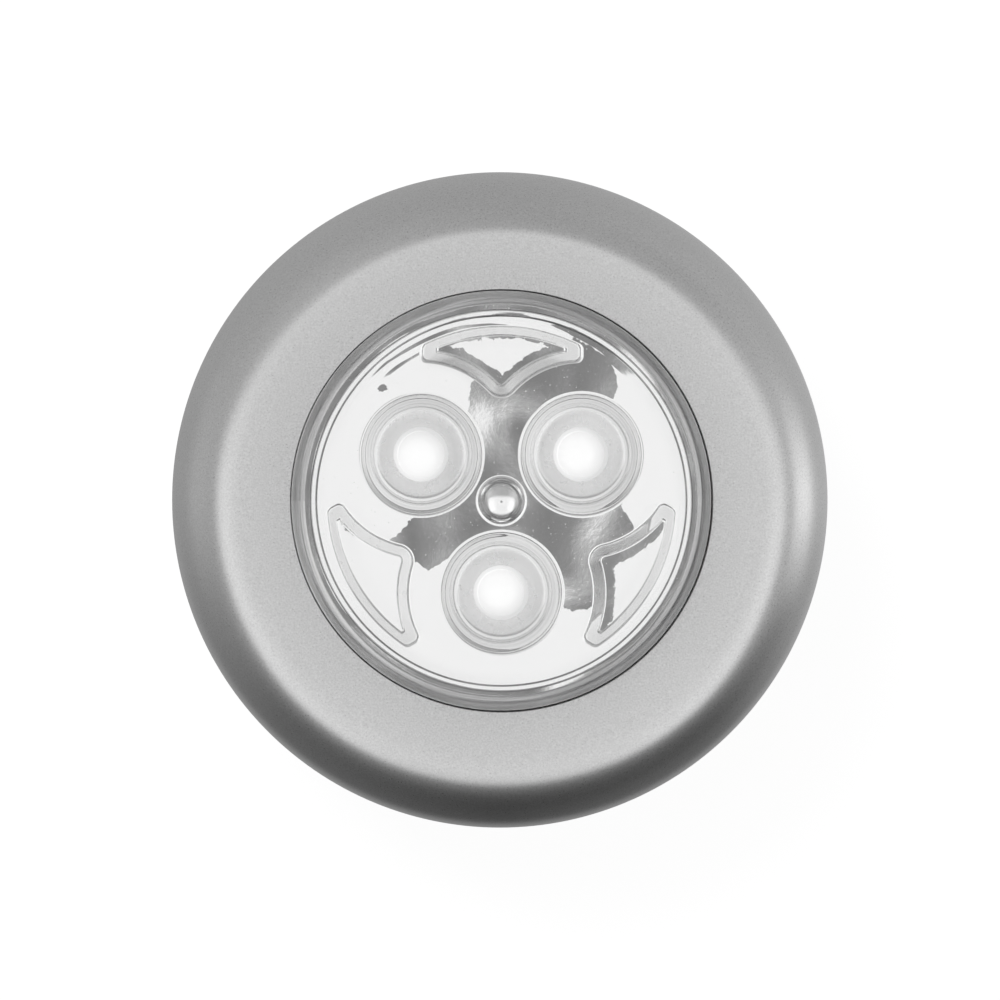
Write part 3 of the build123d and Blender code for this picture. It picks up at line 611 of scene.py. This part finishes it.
finishes = {
    "silver_paint": silver_paint(),
    "metallised_plastic": metallised_plastic(),
    "clear_plastic": clear_plastic(),
    "led_epoxy": led_epoxy(),
    "frosted_plastic_painted_streaks": frosted_plastic_painted_streaks(),
    "dark_plastic": moulded_plastic("dark_plastic", 0.035, 0.02 * mm),
    "pale_plastic": moulded_plastic("pale_plastic", 0.62, 0.02 * mm),
    "foam_tape": foam_tape(),
    "plated_steel": bright_metal("plated_steel", 0.72, 0.28),
    "spring_steel": bright_metal("spring_steel", 0.66, 0.22),
    "tinned_leads": bright_metal("tinned_leads", 0.75, 0.3),
    "cell_jacket": coloured("cell_jacket", (0.08, 0.09, 0.11), 0.3),
    "board_laminate": coloured("board_laminate", (0.80, 0.80, 0.77), 0.35),
    "resistor_body": coloured("resistor_body", (0.03, 0.03, 0.03), 0.4),
    "plunger_plastic": coloured("plunger_plastic", (0.86, 0.86, 0.84), 0.4),
    "red_insulation": coloured("red_insulation", (0.5, 0.02, 0.02), 0.4),
    "black_insulation": coloured("black_insulation", (0.02, 0.02, 0.02), 0.4),
}

slot_of = {part["node"]: part["material_slot"] for part in frame["record"]["subparts"]}
for node_name, node in frame["nodes"].items():
    node.data.materials.clear()
    node.data.materials.append(finishes[slot_of[node_name]])


def arc(centre, radius, start, end, steps):
    """Points along an arc, from one angle to another, both ends included."""
    turns = [start + (end - start) * step / steps for step in range(steps + 1)]
    return [
        (centre[0] + radius * math.cos(turn), centre[1] + radius * math.sin(turn)) for turn in turns
    ]


def bowed(start, end, bulge, steps):
    """Points along an arc between two points that bulges to the right of the way by some height."""
    start, end = Vector(start), Vector(end)
    way = end - start
    right = Vector((way.y, -way.x)).normalized()
    radius = (way.length_squared / 4 + bulge * bulge) / (2 * bulge)
    centre = (start + end) / 2 + right * (bulge - radius)
    first = math.atan2(start.y - centre.y, start.x - centre.x)
    last = math.atan2(end.y - centre.y, end.x - centre.x)
    swing = (last - first + math.pi) % full_turn - math.pi
    return arc(centre, abs(radius), first, first + swing, steps)


def spun(mesh, section, centre=(0, 0), steps=ring_steps, start=0.0, angle=full_turn, closed=False):
    """Turns a section, given as (radius, height) points, about an upright axis."""
    away = Vector((math.cos(start), math.sin(start), 0))
    foot = Vector((centre[0], centre[1], 0))
    points = [mesh.verts.new(foot + away * radius + Vector((0, 0, height))) for radius, height in section]
    edges = [mesh.edges.new(pair) for pair in zip(points, points[1:])]
    if closed:
        edges.append(mesh.edges.new((points[-1], points[0])))
    whole = math.isclose(angle, full_turn)
    made = bmesh.ops.spin(
        mesh,
        geom=points + edges,
        cent=foot,
        axis=(0, 0, 1),
        angle=angle,
        steps=steps,
        use_merge=whole,
        use_normal_flip=False,
        use_duplicate=False,
    )
    if not whole:
        for ends in (edges, [item for item in made["geom_last"] if isinstance(item, bmesh.types.BMEdge)]):
            bmesh.ops.contextual_create(mesh, geom=ends)


def block(mesh, centre, size, angle=0.0):
    """An upright box turned about its own middle."""
    matrix = Matrix.Translation(centre) @ Matrix.Rotation(angle, 4, "Z") @ Matrix.Diagonal((*size, 1))
    bmesh.ops.create_cube(mesh, size=1, matrix=matrix)


def cleaned(mesh):
    """Merges doubles and points the faces outwards."""
    bmesh.ops.remove_doubles(mesh, verts=mesh.verts, dist=merge_distance)
    bmesh.ops.dissolve_degenerate(mesh, edges=mesh.edges, dist=merge_distance)
    bmesh.ops.recalc_face_normals(mesh, faces=mesh.faces)


def plain_object(name, data):
    """Puts an object with this data into the scene."""
    thing = bpy.data.objects.new(name, data)
    bpy.context.scene.collection.objects.link(thing)
    return thing


def as_object(mesh, name, material):
    """Makes a bmesh an object in one material."""
    data = bpy.data.meshes.new(name)
    mesh.to_mesh(data)
    mesh.free()
    data.materials.append(material)
    return plain_object(name, data)


def smoothed(piece):
    """Smooth shading, broken at the sharp edges."""
    piece.data.shade_smooth()
    piece.data.set_sharp_from_angle(angle=sharp_angle)


def placed(piece, node):
    """Lets a piece stand for a node: puts it on that node's body and hides the node."""
    bodies = frame["record"]["behaviour"]["bodies"]
    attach(piece, next(body for body, nodes in bodies.items() if node in nodes))
    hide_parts(node)


def finished(mesh, name, node):
    """Makes the piece that stands for a node, in that node's finish."""
    cleaned(mesh)
    piece = as_object(mesh, name, finishes[slot_of[node]])
    smoothed(piece)
    placed(piece, node)
    return piece


def weighted(piece):
    """Keeps flat faces flat in the shading beside rounded edges."""
    modifier = piece.modifiers.new("flat_faces_first", "WEIGHTED_NORMAL")
    modifier.keep_sharp = True
    modifier.weight = 100


def shoulder_curve(base, width, height):
    """Points over the shoulder, a quarter of an oval, from the flat's edge down to the side."""
    start = housing_radius - shoulder_width
    quarter = arc((0, 0), 1.0, quarter_turn, 0.0, shoulder_steps)
    return [(start + width * out, base + height * up) for out, up in quarter]


def make_housing():
    """The painted ring: shell, bayonet ledge, stops and screw bosses."""
    mesh = bmesh.new()
    shoulder_start = housing_radius - shoulder_width
    shoulder_base = housing_top - shoulder_height
    underside = housing_top - housing_wall
    inner_foot = housing_foot_radius - housing_wall
    foot = pad_thickness
    window_round = arc(
        (window_radius + window_edge_round, housing_top - window_edge_round),
        window_edge_round, math.pi, quarter_turn, 8,
    )
    inner = shoulder_curve(
        shoulder_base - crown_drop, shoulder_width - housing_wall, shoulder_height - housing_wall
    )
    crown_start = window_radius + window_edge_round
    crown_step = (shoulder_start - crown_start) / crown_steps
    level = [(crown_start + crown_step * step, housing_top) for step in range(1, crown_steps)]
    shoulder = shoulder_curve(shoulder_base, shoulder_width, shoulder_height)
    outer = [
        (radius, height - crown_drop * ((radius - crown_start) / (housing_radius - crown_start)) ** 2)
        for radius, height in level + shoulder
    ]
    foot_round = arc(
        (housing_foot_radius - foot_edge_round, foot + foot_edge_round),
        foot_edge_round, 0.0, -quarter_turn, 6,
    )
    section = [(window_radius, underside)] + window_round + outer + foot_round
    section += [(inner_foot, foot)] + inner[::-1]
    spun(mesh, section, closed=True)
    notch_half = math.asin((lug_width / 2 + notch_clearance) / ledge_radius)
    span = full_turn / bayonet_count - 2 * notch_half
    ledge = [
        (ledge_radius, foot), (inner_foot, foot),
        (inner_foot, foot + ledge_height), (ledge_radius, foot + ledge_height),
    ]
    for step in range(bayonet_count):
        notch = bayonet_angle - unlock_angle + step * full_turn / bayonet_count
        spun(mesh, ledge, steps=60, start=notch + notch_half, angle=span, closed=True)
        stop_turn = (lug_width / 2 + stop_clearance + stop_width / 2) / lug_radius
        stop = bayonet_angle + stop_turn + step * full_turn / bayonet_count
        stop_middle = polar(inner_foot - stop_depth / 2, stop, foot + ledge_height + lug_height / 2)
        block(mesh, stop_middle, (stop_depth, stop_width, lug_height), stop)
    boss = [
        (0, tray_deck_top + boss_hole_depth), (boss_hole_radius, tray_deck_top + boss_hole_depth),
        (boss_hole_radius, tray_deck_top), (boss_radius, tray_deck_top), (boss_radius, underside),
        (0, underside),
    ]
    for turn in (math.pi + boss_angle, math.pi - boss_angle, -boss_angle, boss_angle):
        spun(mesh, boss, polar(boss_pitch_radius, turn)[:2], steps=48)
    finished(mesh, "painted_housing", "outer_housing")


def make_lens():
    """The clear cap, a flat disc with a rounded edge, on its frosted skirt with flange and catches."""
    mesh = bmesh.new()
    underside = lens_top - lens_thickness
    small = lens_small_round
    section = [(0, underside)]
    section += arc((lens_radius - small, underside + small), small, -quarter_turn, 0.0, 3)
    section += arc(
        (lens_radius - lens_edge_round, lens_top - lens_edge_round), lens_edge_round, 0.0, quarter_turn, 16
    )
    section += [(0, lens_top)]
    spun(mesh, section, lens_offset, steps=ring_steps)
    weighted(finished(mesh, "lens_cap", "clear_lens"))

    mesh = bmesh.new()
    skirt_top = underside - lens_seam
    flange_top = housing_top - housing_wall - lens_flange_gap
    flange_bottom = flange_top - lens_flange_thickness
    step = lens_low.z + lens_step_height
    skirt_radius = lens_radius - lens_skirt_wall
    step_radius = lens_radius - lens_step_wall
    section = arc((skirt_radius + small, skirt_top - small), small, quarter_turn, math.pi, 3)
    section += [(skirt_radius, step), (step_radius, step)]
    section += arc((step_radius + small, lens_low.z + small), small, math.pi, 3 * quarter_turn, 3)
    section += arc((lens_radius - small, lens_low.z + small), small, -quarter_turn, 0.0, 3)
    section += arc((lens_radius + small, flange_bottom - small), small, math.pi, quarter_turn, 3)
    section += arc((lens_flange_radius - small, flange_bottom + small), small, -quarter_turn, 0.0, 3)
    section += arc((lens_flange_radius - small, flange_top - small), small, 0.0, quarter_turn, 3)
    section += arc((lens_radius + small, flange_top + small), small, 3 * quarter_turn, math.pi, 3)
    outer_top = skirt_top - lens_skirt_wall * lens_skirt_slope
    section += arc((lens_radius - small, outer_top - small), small, 0.0, quarter_turn, 3)
    spun(mesh, section, lens_offset, steps=ring_steps, closed=True)
    for catch in range(catch_count):
        turn = catch * full_turn / catch_count
        middle = polar(step_radius - catch_depth / 2, turn, lens_low.z + catch_height / 2)
        block(mesh, middle, (catch_depth, catch_width, catch_height), turn)
    skirt = finished(mesh, "lens_skirt", "clear_lens")
    skirt.data.materials[0] = finishes["frosted_plastic_painted_streaks"]


def wing_outline(share):
    """Half of the wing's outline, from its nose to its outer arc; share 0 is the opening, 1 the floor."""
    sizes = (wing_outer_radii, wing_cup_clears, wing_half_widths, wing_tip_rounds, wing_nose_rounds)
    outer_radius, cup_clear, half_width, tip_round, nose_round = [
        opening + (floor - opening) * share for opening, floor in sizes
    ]
    cup = polar(cup_pitch_radius, cup_first_angle)
    nose_y = cup.y + math.sqrt((cup_clear + nose_round) ** 2 - cup.x ** 2)
    nose = Vector((0, nose_y))
    low_x = half_width - tip_round
    low = Vector((low_x, cup.y + math.sqrt((cup_clear + tip_round) ** 2 - (low_x - cup.x) ** 2)))
    high = Vector((low_x, math.sqrt((outer_radius - tip_round) ** 2 - low_x ** 2)))
    to_cup = math.atan2(cup.y - nose.y, cup.x - nose.x)
    low_to_cup = math.atan2(cup.y - low.y, cup.x - low.x)
    high_turn = math.atan2(high.y, high.x)
    points = arc(nose, nose_round, -quarter_turn, to_cup, 6)
    points += arc(cup, cup_clear, to_cup + math.pi, low_to_cup + math.pi, 28)[1:]
    points += arc(low, tip_round, low_to_cup, 0.0, 6)[1:]
    points += arc(high, tip_round, 0.0, high_turn, 6)
    points += arc((0, 0), outer_radius, high_turn, quarter_turn, 28)[1:]
    return points


def closed_loop(mesh, points, height, turn):
    """A closed ring of edges through half an outline and its mirror image, turned about the axis."""
    whole = points + [(-x, y) for x, y in points[-2:0:-1]]
    spin = Matrix.Rotation(turn, 3, "Z")
    corners = [mesh.verts.new(spin @ Vector((x, y, height))) for x, y in whole]
    return [mesh.edges.new(pair) for pair in zip(corners, corners[1:] + corners[:1])]


def make_wing(mesh, turn):
    """One sunk wing: rounded edge, sloping walls and flat floor."""
    edge, foot = wing_edge_share, wing_foot_share
    stations = [(-edge, 0.0), (-edge / 2, -0.07 * edge), (0.0, -0.25 * edge), (edge / 2, -0.56 * edge)]
    stations += [(edge, -edge), (0.4, -0.4), (0.7, -0.7), (1 - foot, foot - 1)]
    stations += [(1 - foot / 2, 0.56 * foot - 1), (1.0, 0.25 * foot - 1), (1 + foot, -1.0)]
    rings = [
        closed_loop(mesh, wing_outline(share), reflector_face + drop * wing_depth, turn)
        for share, drop in stations
    ]
    for upper, lower in zip(rings, rings[1:]):
        bmesh.ops.bridge_loops(mesh, edges=upper + lower)
    bmesh.ops.triangle_fill(mesh, use_beauty=True, edges=rings[-1], normal=(0, 0, 1))


def dome_section():
    """The dome and the fillet round its foot, from its top down to the face."""
    sphere = (dome_radius ** 2 + dome_height ** 2) / (2 * dome_height)
    centre = reflector_face + dome_height - sphere
    lift = reflector_face + dome_fillet - centre
    fillet_x = math.sqrt((sphere + dome_fillet) ** 2 - lift ** 2)
    meeting = math.atan2(lift, fillet_x)
    points = arc((0, centre), sphere, quarter_turn, meeting, 20)
    fillet_centre = (fillet_x, reflector_face + dome_fillet)
    return points + arc(fillet_centre, dome_fillet, meeting - math.pi, -quarter_turn, 8)[1:]


def cup_section():
    """A cup from its lip on the face down to the edge of its hole."""
    floor = reflector_face - cup_depth
    lip = arc(
        (cup_radius + cup_lip_round, reflector_face - cup_lip_round),
        cup_lip_round, quarter_turn, math.radians(158), 8,
    )
    foot = arc(
        (cup_floor_radius, floor + cup_foot_round), cup_foot_round, math.radians(-25), -quarter_turn, 8
    )
    wall = bowed(lip[-1], foot[0], cup_bulge, 20)[1:-1]
    hole = [(cup_hole_radius, floor - cup_dish), (cup_hole_radius, floor - cup_dish - cup_hole_wall)]
    return lip + wall + foot + hole


def make_reflector():
    """The metallised plate: rim, skirt, cups, wings and dome in one skin, given its wall at the end."""
    mesh = bmesh.new()
    skirt_radius = reflector_face_radius + rim_round
    skirt_foot = reflector_face - skirt_depth
    lip_top = skirt_foot + skirt_lip_height
    ledge = reflector_face - rim_step_depth
    rim = [(rim_step_radius, reflector_face), (rim_step_radius + rim_step_width, ledge)]
    edge_middle = (skirt_radius - rim_edge_round, ledge - rim_edge_round)
    rim += arc(edge_middle, rim_edge_round, quarter_turn, 0.0, 6)
    rim += [(skirt_radius, lip_top), (skirt_radius + skirt_lip_width, lip_top)]
    rim += [(skirt_radius + skirt_lip_width, skirt_foot)]
    spun(mesh, rim)
    spun(mesh, dome_section(), steps=small_ring_steps)
    for step in range(cup_count):
        turn = step * full_turn / cup_count
        centre = polar(cup_pitch_radius, cup_first_angle + turn)
        spun(mesh, cup_section(), centre[:2], steps=2 * small_ring_steps)
        make_wing(mesh, turn)
    bmesh.ops.remove_doubles(mesh, verts=mesh.verts, dist=merge_distance)
    open_edges = [
        edge for edge in mesh.edges
        if len(edge.link_faces) < 2
        and all(abs(corner.co.z - reflector_face) < merge_distance for corner in edge.verts)
    ]
    bmesh.ops.triangle_fill(mesh, use_beauty=True, edges=open_edges, normal=(0, 0, 1))
    cleaned(mesh)
    top_face = max(mesh.faces, key=lambda face: face.calc_center_median().z)
    if top_face.normal.z < 0:
        bmesh.ops.reverse_faces(mesh, faces=mesh.faces)
    piece = as_object(mesh, "reflector_skin", finishes["metallised_plastic"])
    smoothed(piece)
    for edge in piece.data.edges:
        ends = [piece.data.vertices[corner].co.z for corner in edge.vertices]
        for level in (reflector_face, reflector_face - wing_depth):
            if max(abs(height - level) for height in ends) < merge_distance:
                edge.use_edge_sharp = True
    wall = piece.modifiers.new("wall", "SOLIDIFY")
    wall.thickness = reflector_wall
    wall.offset = -1
    weighted(piece)
    placed(piece, "reflector")


def make_led(name, step):
    """A lit LED: its crowned body on a flange."""
    mesh = bmesh.new()
    turn = cup_first_angle + step * full_turn / cup_count
    centre = polar(cup_pitch_radius, turn)
    shoulder = led_high.z - led_crown_height
    sphere = (led_radius ** 2 + led_crown_height ** 2) / (2 * led_crown_height)
    crown_turn = math.atan2(sphere - led_crown_height, led_radius)
    crown = arc((0, led_high.z - sphere), sphere, quarter_turn, crown_turn, 12)
    section = crown + [(led_radius, led_low.z + led_flange_thickness)]
    section += [(led_flange_radius, led_low.z + led_flange_thickness), (led_flange_radius, led_low.z)]
    section += [(0, led_low.z)]
    spun(mesh, section, centre[:2], steps=64)
    finished(mesh, f"lit_led_{name}", f"led_{name}")


def make_spring(name):
    """A return spring, which stands on the deck, made from its node's mesh copied into a mesh of its own."""
    node = f"return_spring_{name}"
    mesh = bmesh.new()
    mesh.from_mesh(frame["nodes"][node].data)
    spring = finished(mesh, f"coil_spring_{name}", node)
    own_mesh(spring)


def make_cover():
    """The twist-off back cover with its ring and lugs."""
    mesh = bmesh.new()
    cover_top = pad_thickness + cover_thickness
    ring_inner = cover_ring_radius - cover_ring_wall
    section = [
        (0, pad_thickness), (cover_radius - cover_edge_chamfer, pad_thickness),
        (cover_radius, pad_thickness + cover_edge_chamfer), (cover_radius, cover_top),
        (cover_ring_radius, cover_top), (cover_ring_radius, cover_high.z),
        (ring_inner, cover_high.z), (ring_inner, cover_top), (0, cover_top),
    ]
    spun(mesh, section)
    reach = lug_radius - cover_ring_radius + cover_ring_wall / 2
    for step in range(bayonet_count):
        turn = bayonet_angle + step * full_turn / bayonet_count
        middle = polar(lug_radius - reach / 2, turn, cover_top + lug_lift + lug_height / 2)
        block(mesh, middle, (reach, lug_width, lug_height), turn)
    finished(mesh, "back_cover_disc", "back_cover")


def make_pad():
    """The foam pad, its edge a little rounded by the die."""
    mesh = bmesh.new()
    edge = pad_edge_round
    radius = pad_high.x
    section = [(0, 0), (radius - edge, 0), (radius, edge), (radius, pad_thickness - edge)]
    section += [(radius - edge, pad_thickness), (0, pad_thickness)]
    spun(mesh, section)
    finished(mesh, "foam_pad", "adhesive_pad")


make_housing()
make_lens()
make_reflector()
for led_step, led_name in enumerate(("right", "left", "lower")):
    make_led(led_name, led_step)
for spring_name in ("upper", "left", "right"):
    make_spring(spring_name)
make_cover()
make_pad()


def make_floor():
    """A pale floor that keeps a faint shadow and shows white to the camera, metal and glass."""
    mesh = bmesh.new()
    just_below = Matrix.Translation((0, 0, -floor_gap))
    bmesh.ops.create_grid(mesh, x_segments=1, y_segments=1, size=floor_half_width, matrix=just_below)
    material, finish = new_finish("floor")
    finish.surface(
        finish.shader(
            Base_Color=grey(0.18), Roughness=1.0, Specular_IOR_Level=0.0,
            Emission_Color=grey(1.0), Emission_Strength=finish.seen_directly() * floor_level,
        )
    )
    as_object(mesh, "floor", material)


def tent_light():
    """What the tent shows to a mirror: its walls by azimuth and height, an open top, and the camera."""
    material, finish = new_finish("light_tent")
    x, y, z = finish.axes(finish.place())
    round_share = finish.maths("FRACT", finish.maths("ARCTAN2", y, x) / full_turn + 1.0)
    wall = finish.ramp(
        round_share, (0.0, 0.72), (0.125, 0.49), (0.25, 0.46), (0.375, 0.55), (0.5, 0.50),
        (0.625, 0.22), (0.75, 0.10), (0.875, 0.16), (1.0, 0.72),
    )
    stripe = finish.ramp(
        round_share, (0.0, 1.5), (0.06, 0.62), (0.25, 0.46), (0.42, 0.50), (0.5, 0.60),
        (0.56, 0.3), (0.625, 0.12), (0.75, 0.03), (0.875, 0.08), (0.94, 0.3), (1.0, 1.5),
    )
    near = finish.ramp(
        round_share, (0.0, 0.62), (0.125, 0.55), (0.25, 0.47), (0.375, 0.48), (0.5, 0.42),
        (0.625, 0.15), (0.75, 0.06), (0.875, 0.16), (1.0, 0.62),
    )
    foot = finish.ramp(
        round_share, (0.0, 0.6), (0.25, 0.46), (0.5, 0.4), (0.625, 0.4),
        (0.75, 0.36), (0.875, 0.42), (1.0, 0.6),
    )
    from_axis = finish.length(x, y)
    close = finish.blend(finish.smooth_step(from_axis, *foot_to_near), foot, near)
    ground = finish.blend(finish.smooth_step(from_axis, *near_to_stripe), close, stripe)
    rise = z / (from_axis + least_length)
    low_wall = finish.blend(finish.smooth_step(rise, 0.05, 0.25), ground, wall)
    side_x = finish.maths("ABSOLUTE", x) / (z + least_length)
    up_y = y / (z + least_length)
    open_side = finish.smooth_step(side_x, 2.2, 1.2)
    open_upper = finish.smooth_step(up_y, 0.6, 0.26)
    open_lower = finish.smooth_step(up_y, -2.3, -1.2)
    lift = finish.smooth_step(side_x, 0.25, 0.85) * finish.smooth_step(up_y, 0.5, -0.1)
    open_top = finish.blend(open_side * open_upper * open_lower, low_wall, 1.0 + lift * 0.2)
    from_lens = finish.length(side_x, up_y)
    barrel = finish.ramp(from_lens, (0.0, 0.22), (0.05, 0.28), (0.08, 0.45), (0.1, 0.9))
    beside_barrel = finish.smooth_step(from_lens, 1.15 * camera_spot, camera_spot)
    level = finish.blend(beside_barrel, open_top, barrel)
    finish.surface(finish.node("ShaderNodeEmission", None, {"Color": level, "Strength": 1.0}))
    return material


def make_tent():
    """The light tent that shiny surfaces reflect: panels of different brightness round the light."""
    mesh = bmesh.new()
    section = [(housing_radius + tent_foot_gap, tent_foot_height), (tent_radius, tent_foot_height)]
    section += [(tent_radius, 0.7 * tent_height), (0.7 * tent_radius, 1.3 * tent_height)]
    section += [(0, 1.5 * tent_height)]
    spun(mesh, section, steps=64)
    tent = as_object(mesh, "light_tent", tent_light())
    tent.visible_camera = False
    tent.visible_diffuse = False
    tent.visible_shadow = False


def make_lamp(name, place, size, power):
    """A square lamp that looks at the light."""
    data = bpy.data.lights.new(name, "AREA")
    data.size = size
    data.energy = power
    lamp = plain_object(name, data)
    lamp.location = place
    way = Vector((0, 0, lamp_aim_height)) - Vector(place)
    lamp.rotation_euler = way.to_track_quat("-Z", "Y").to_euler()
    lamp.visible_glossy = False
    lamp.visible_transmission = False


def make_world():
    """White to the camera, metal and glass, and a plain soft level for everything else."""
    world = bpy.data.worlds.new("studio")
    world.use_nodes = True
    bpy.context.scene.world = world
    world.cycles.sampling_method = "NONE"
    finish = Finish(world.node_tree)
    strength = room_level + finish.seen_directly() * (1.0 - room_level)
    background = finish.node("ShaderNodeBackground", None, {"Color": grey(1.0), "Strength": strength})
    finish.node_output("ShaderNodeOutputWorld", background)


def make_camera():
    """The camera straight over the light, far off, as in the photograph."""
    data = bpy.data.cameras.new("camera")
    camera = plain_object("camera", data)
    target = Vector((0, 0, housing_top - shoulder_height))
    lean = Vector((math.tan(camera_lean_x), math.tan(camera_lean_y), 1)).normalized()
    camera.location = target + lean * camera_distance
    camera.rotation_euler = Vector((0, 0, 1)).rotation_difference(lean).to_euler()
    data.sensor_width = sensor_width
    data.lens = sensor_width * camera_distance / view_width
    data.clip_start = camera_clip_start
    bpy.context.scene.camera = camera


make_floor()
make_tent()
make_lamp("key_lamp", (-0.35, 0.45, 0.6), 0.5, 3.0)
make_world()
make_camera()
bpy.context.scene.view_settings.view_transform = "Standard"
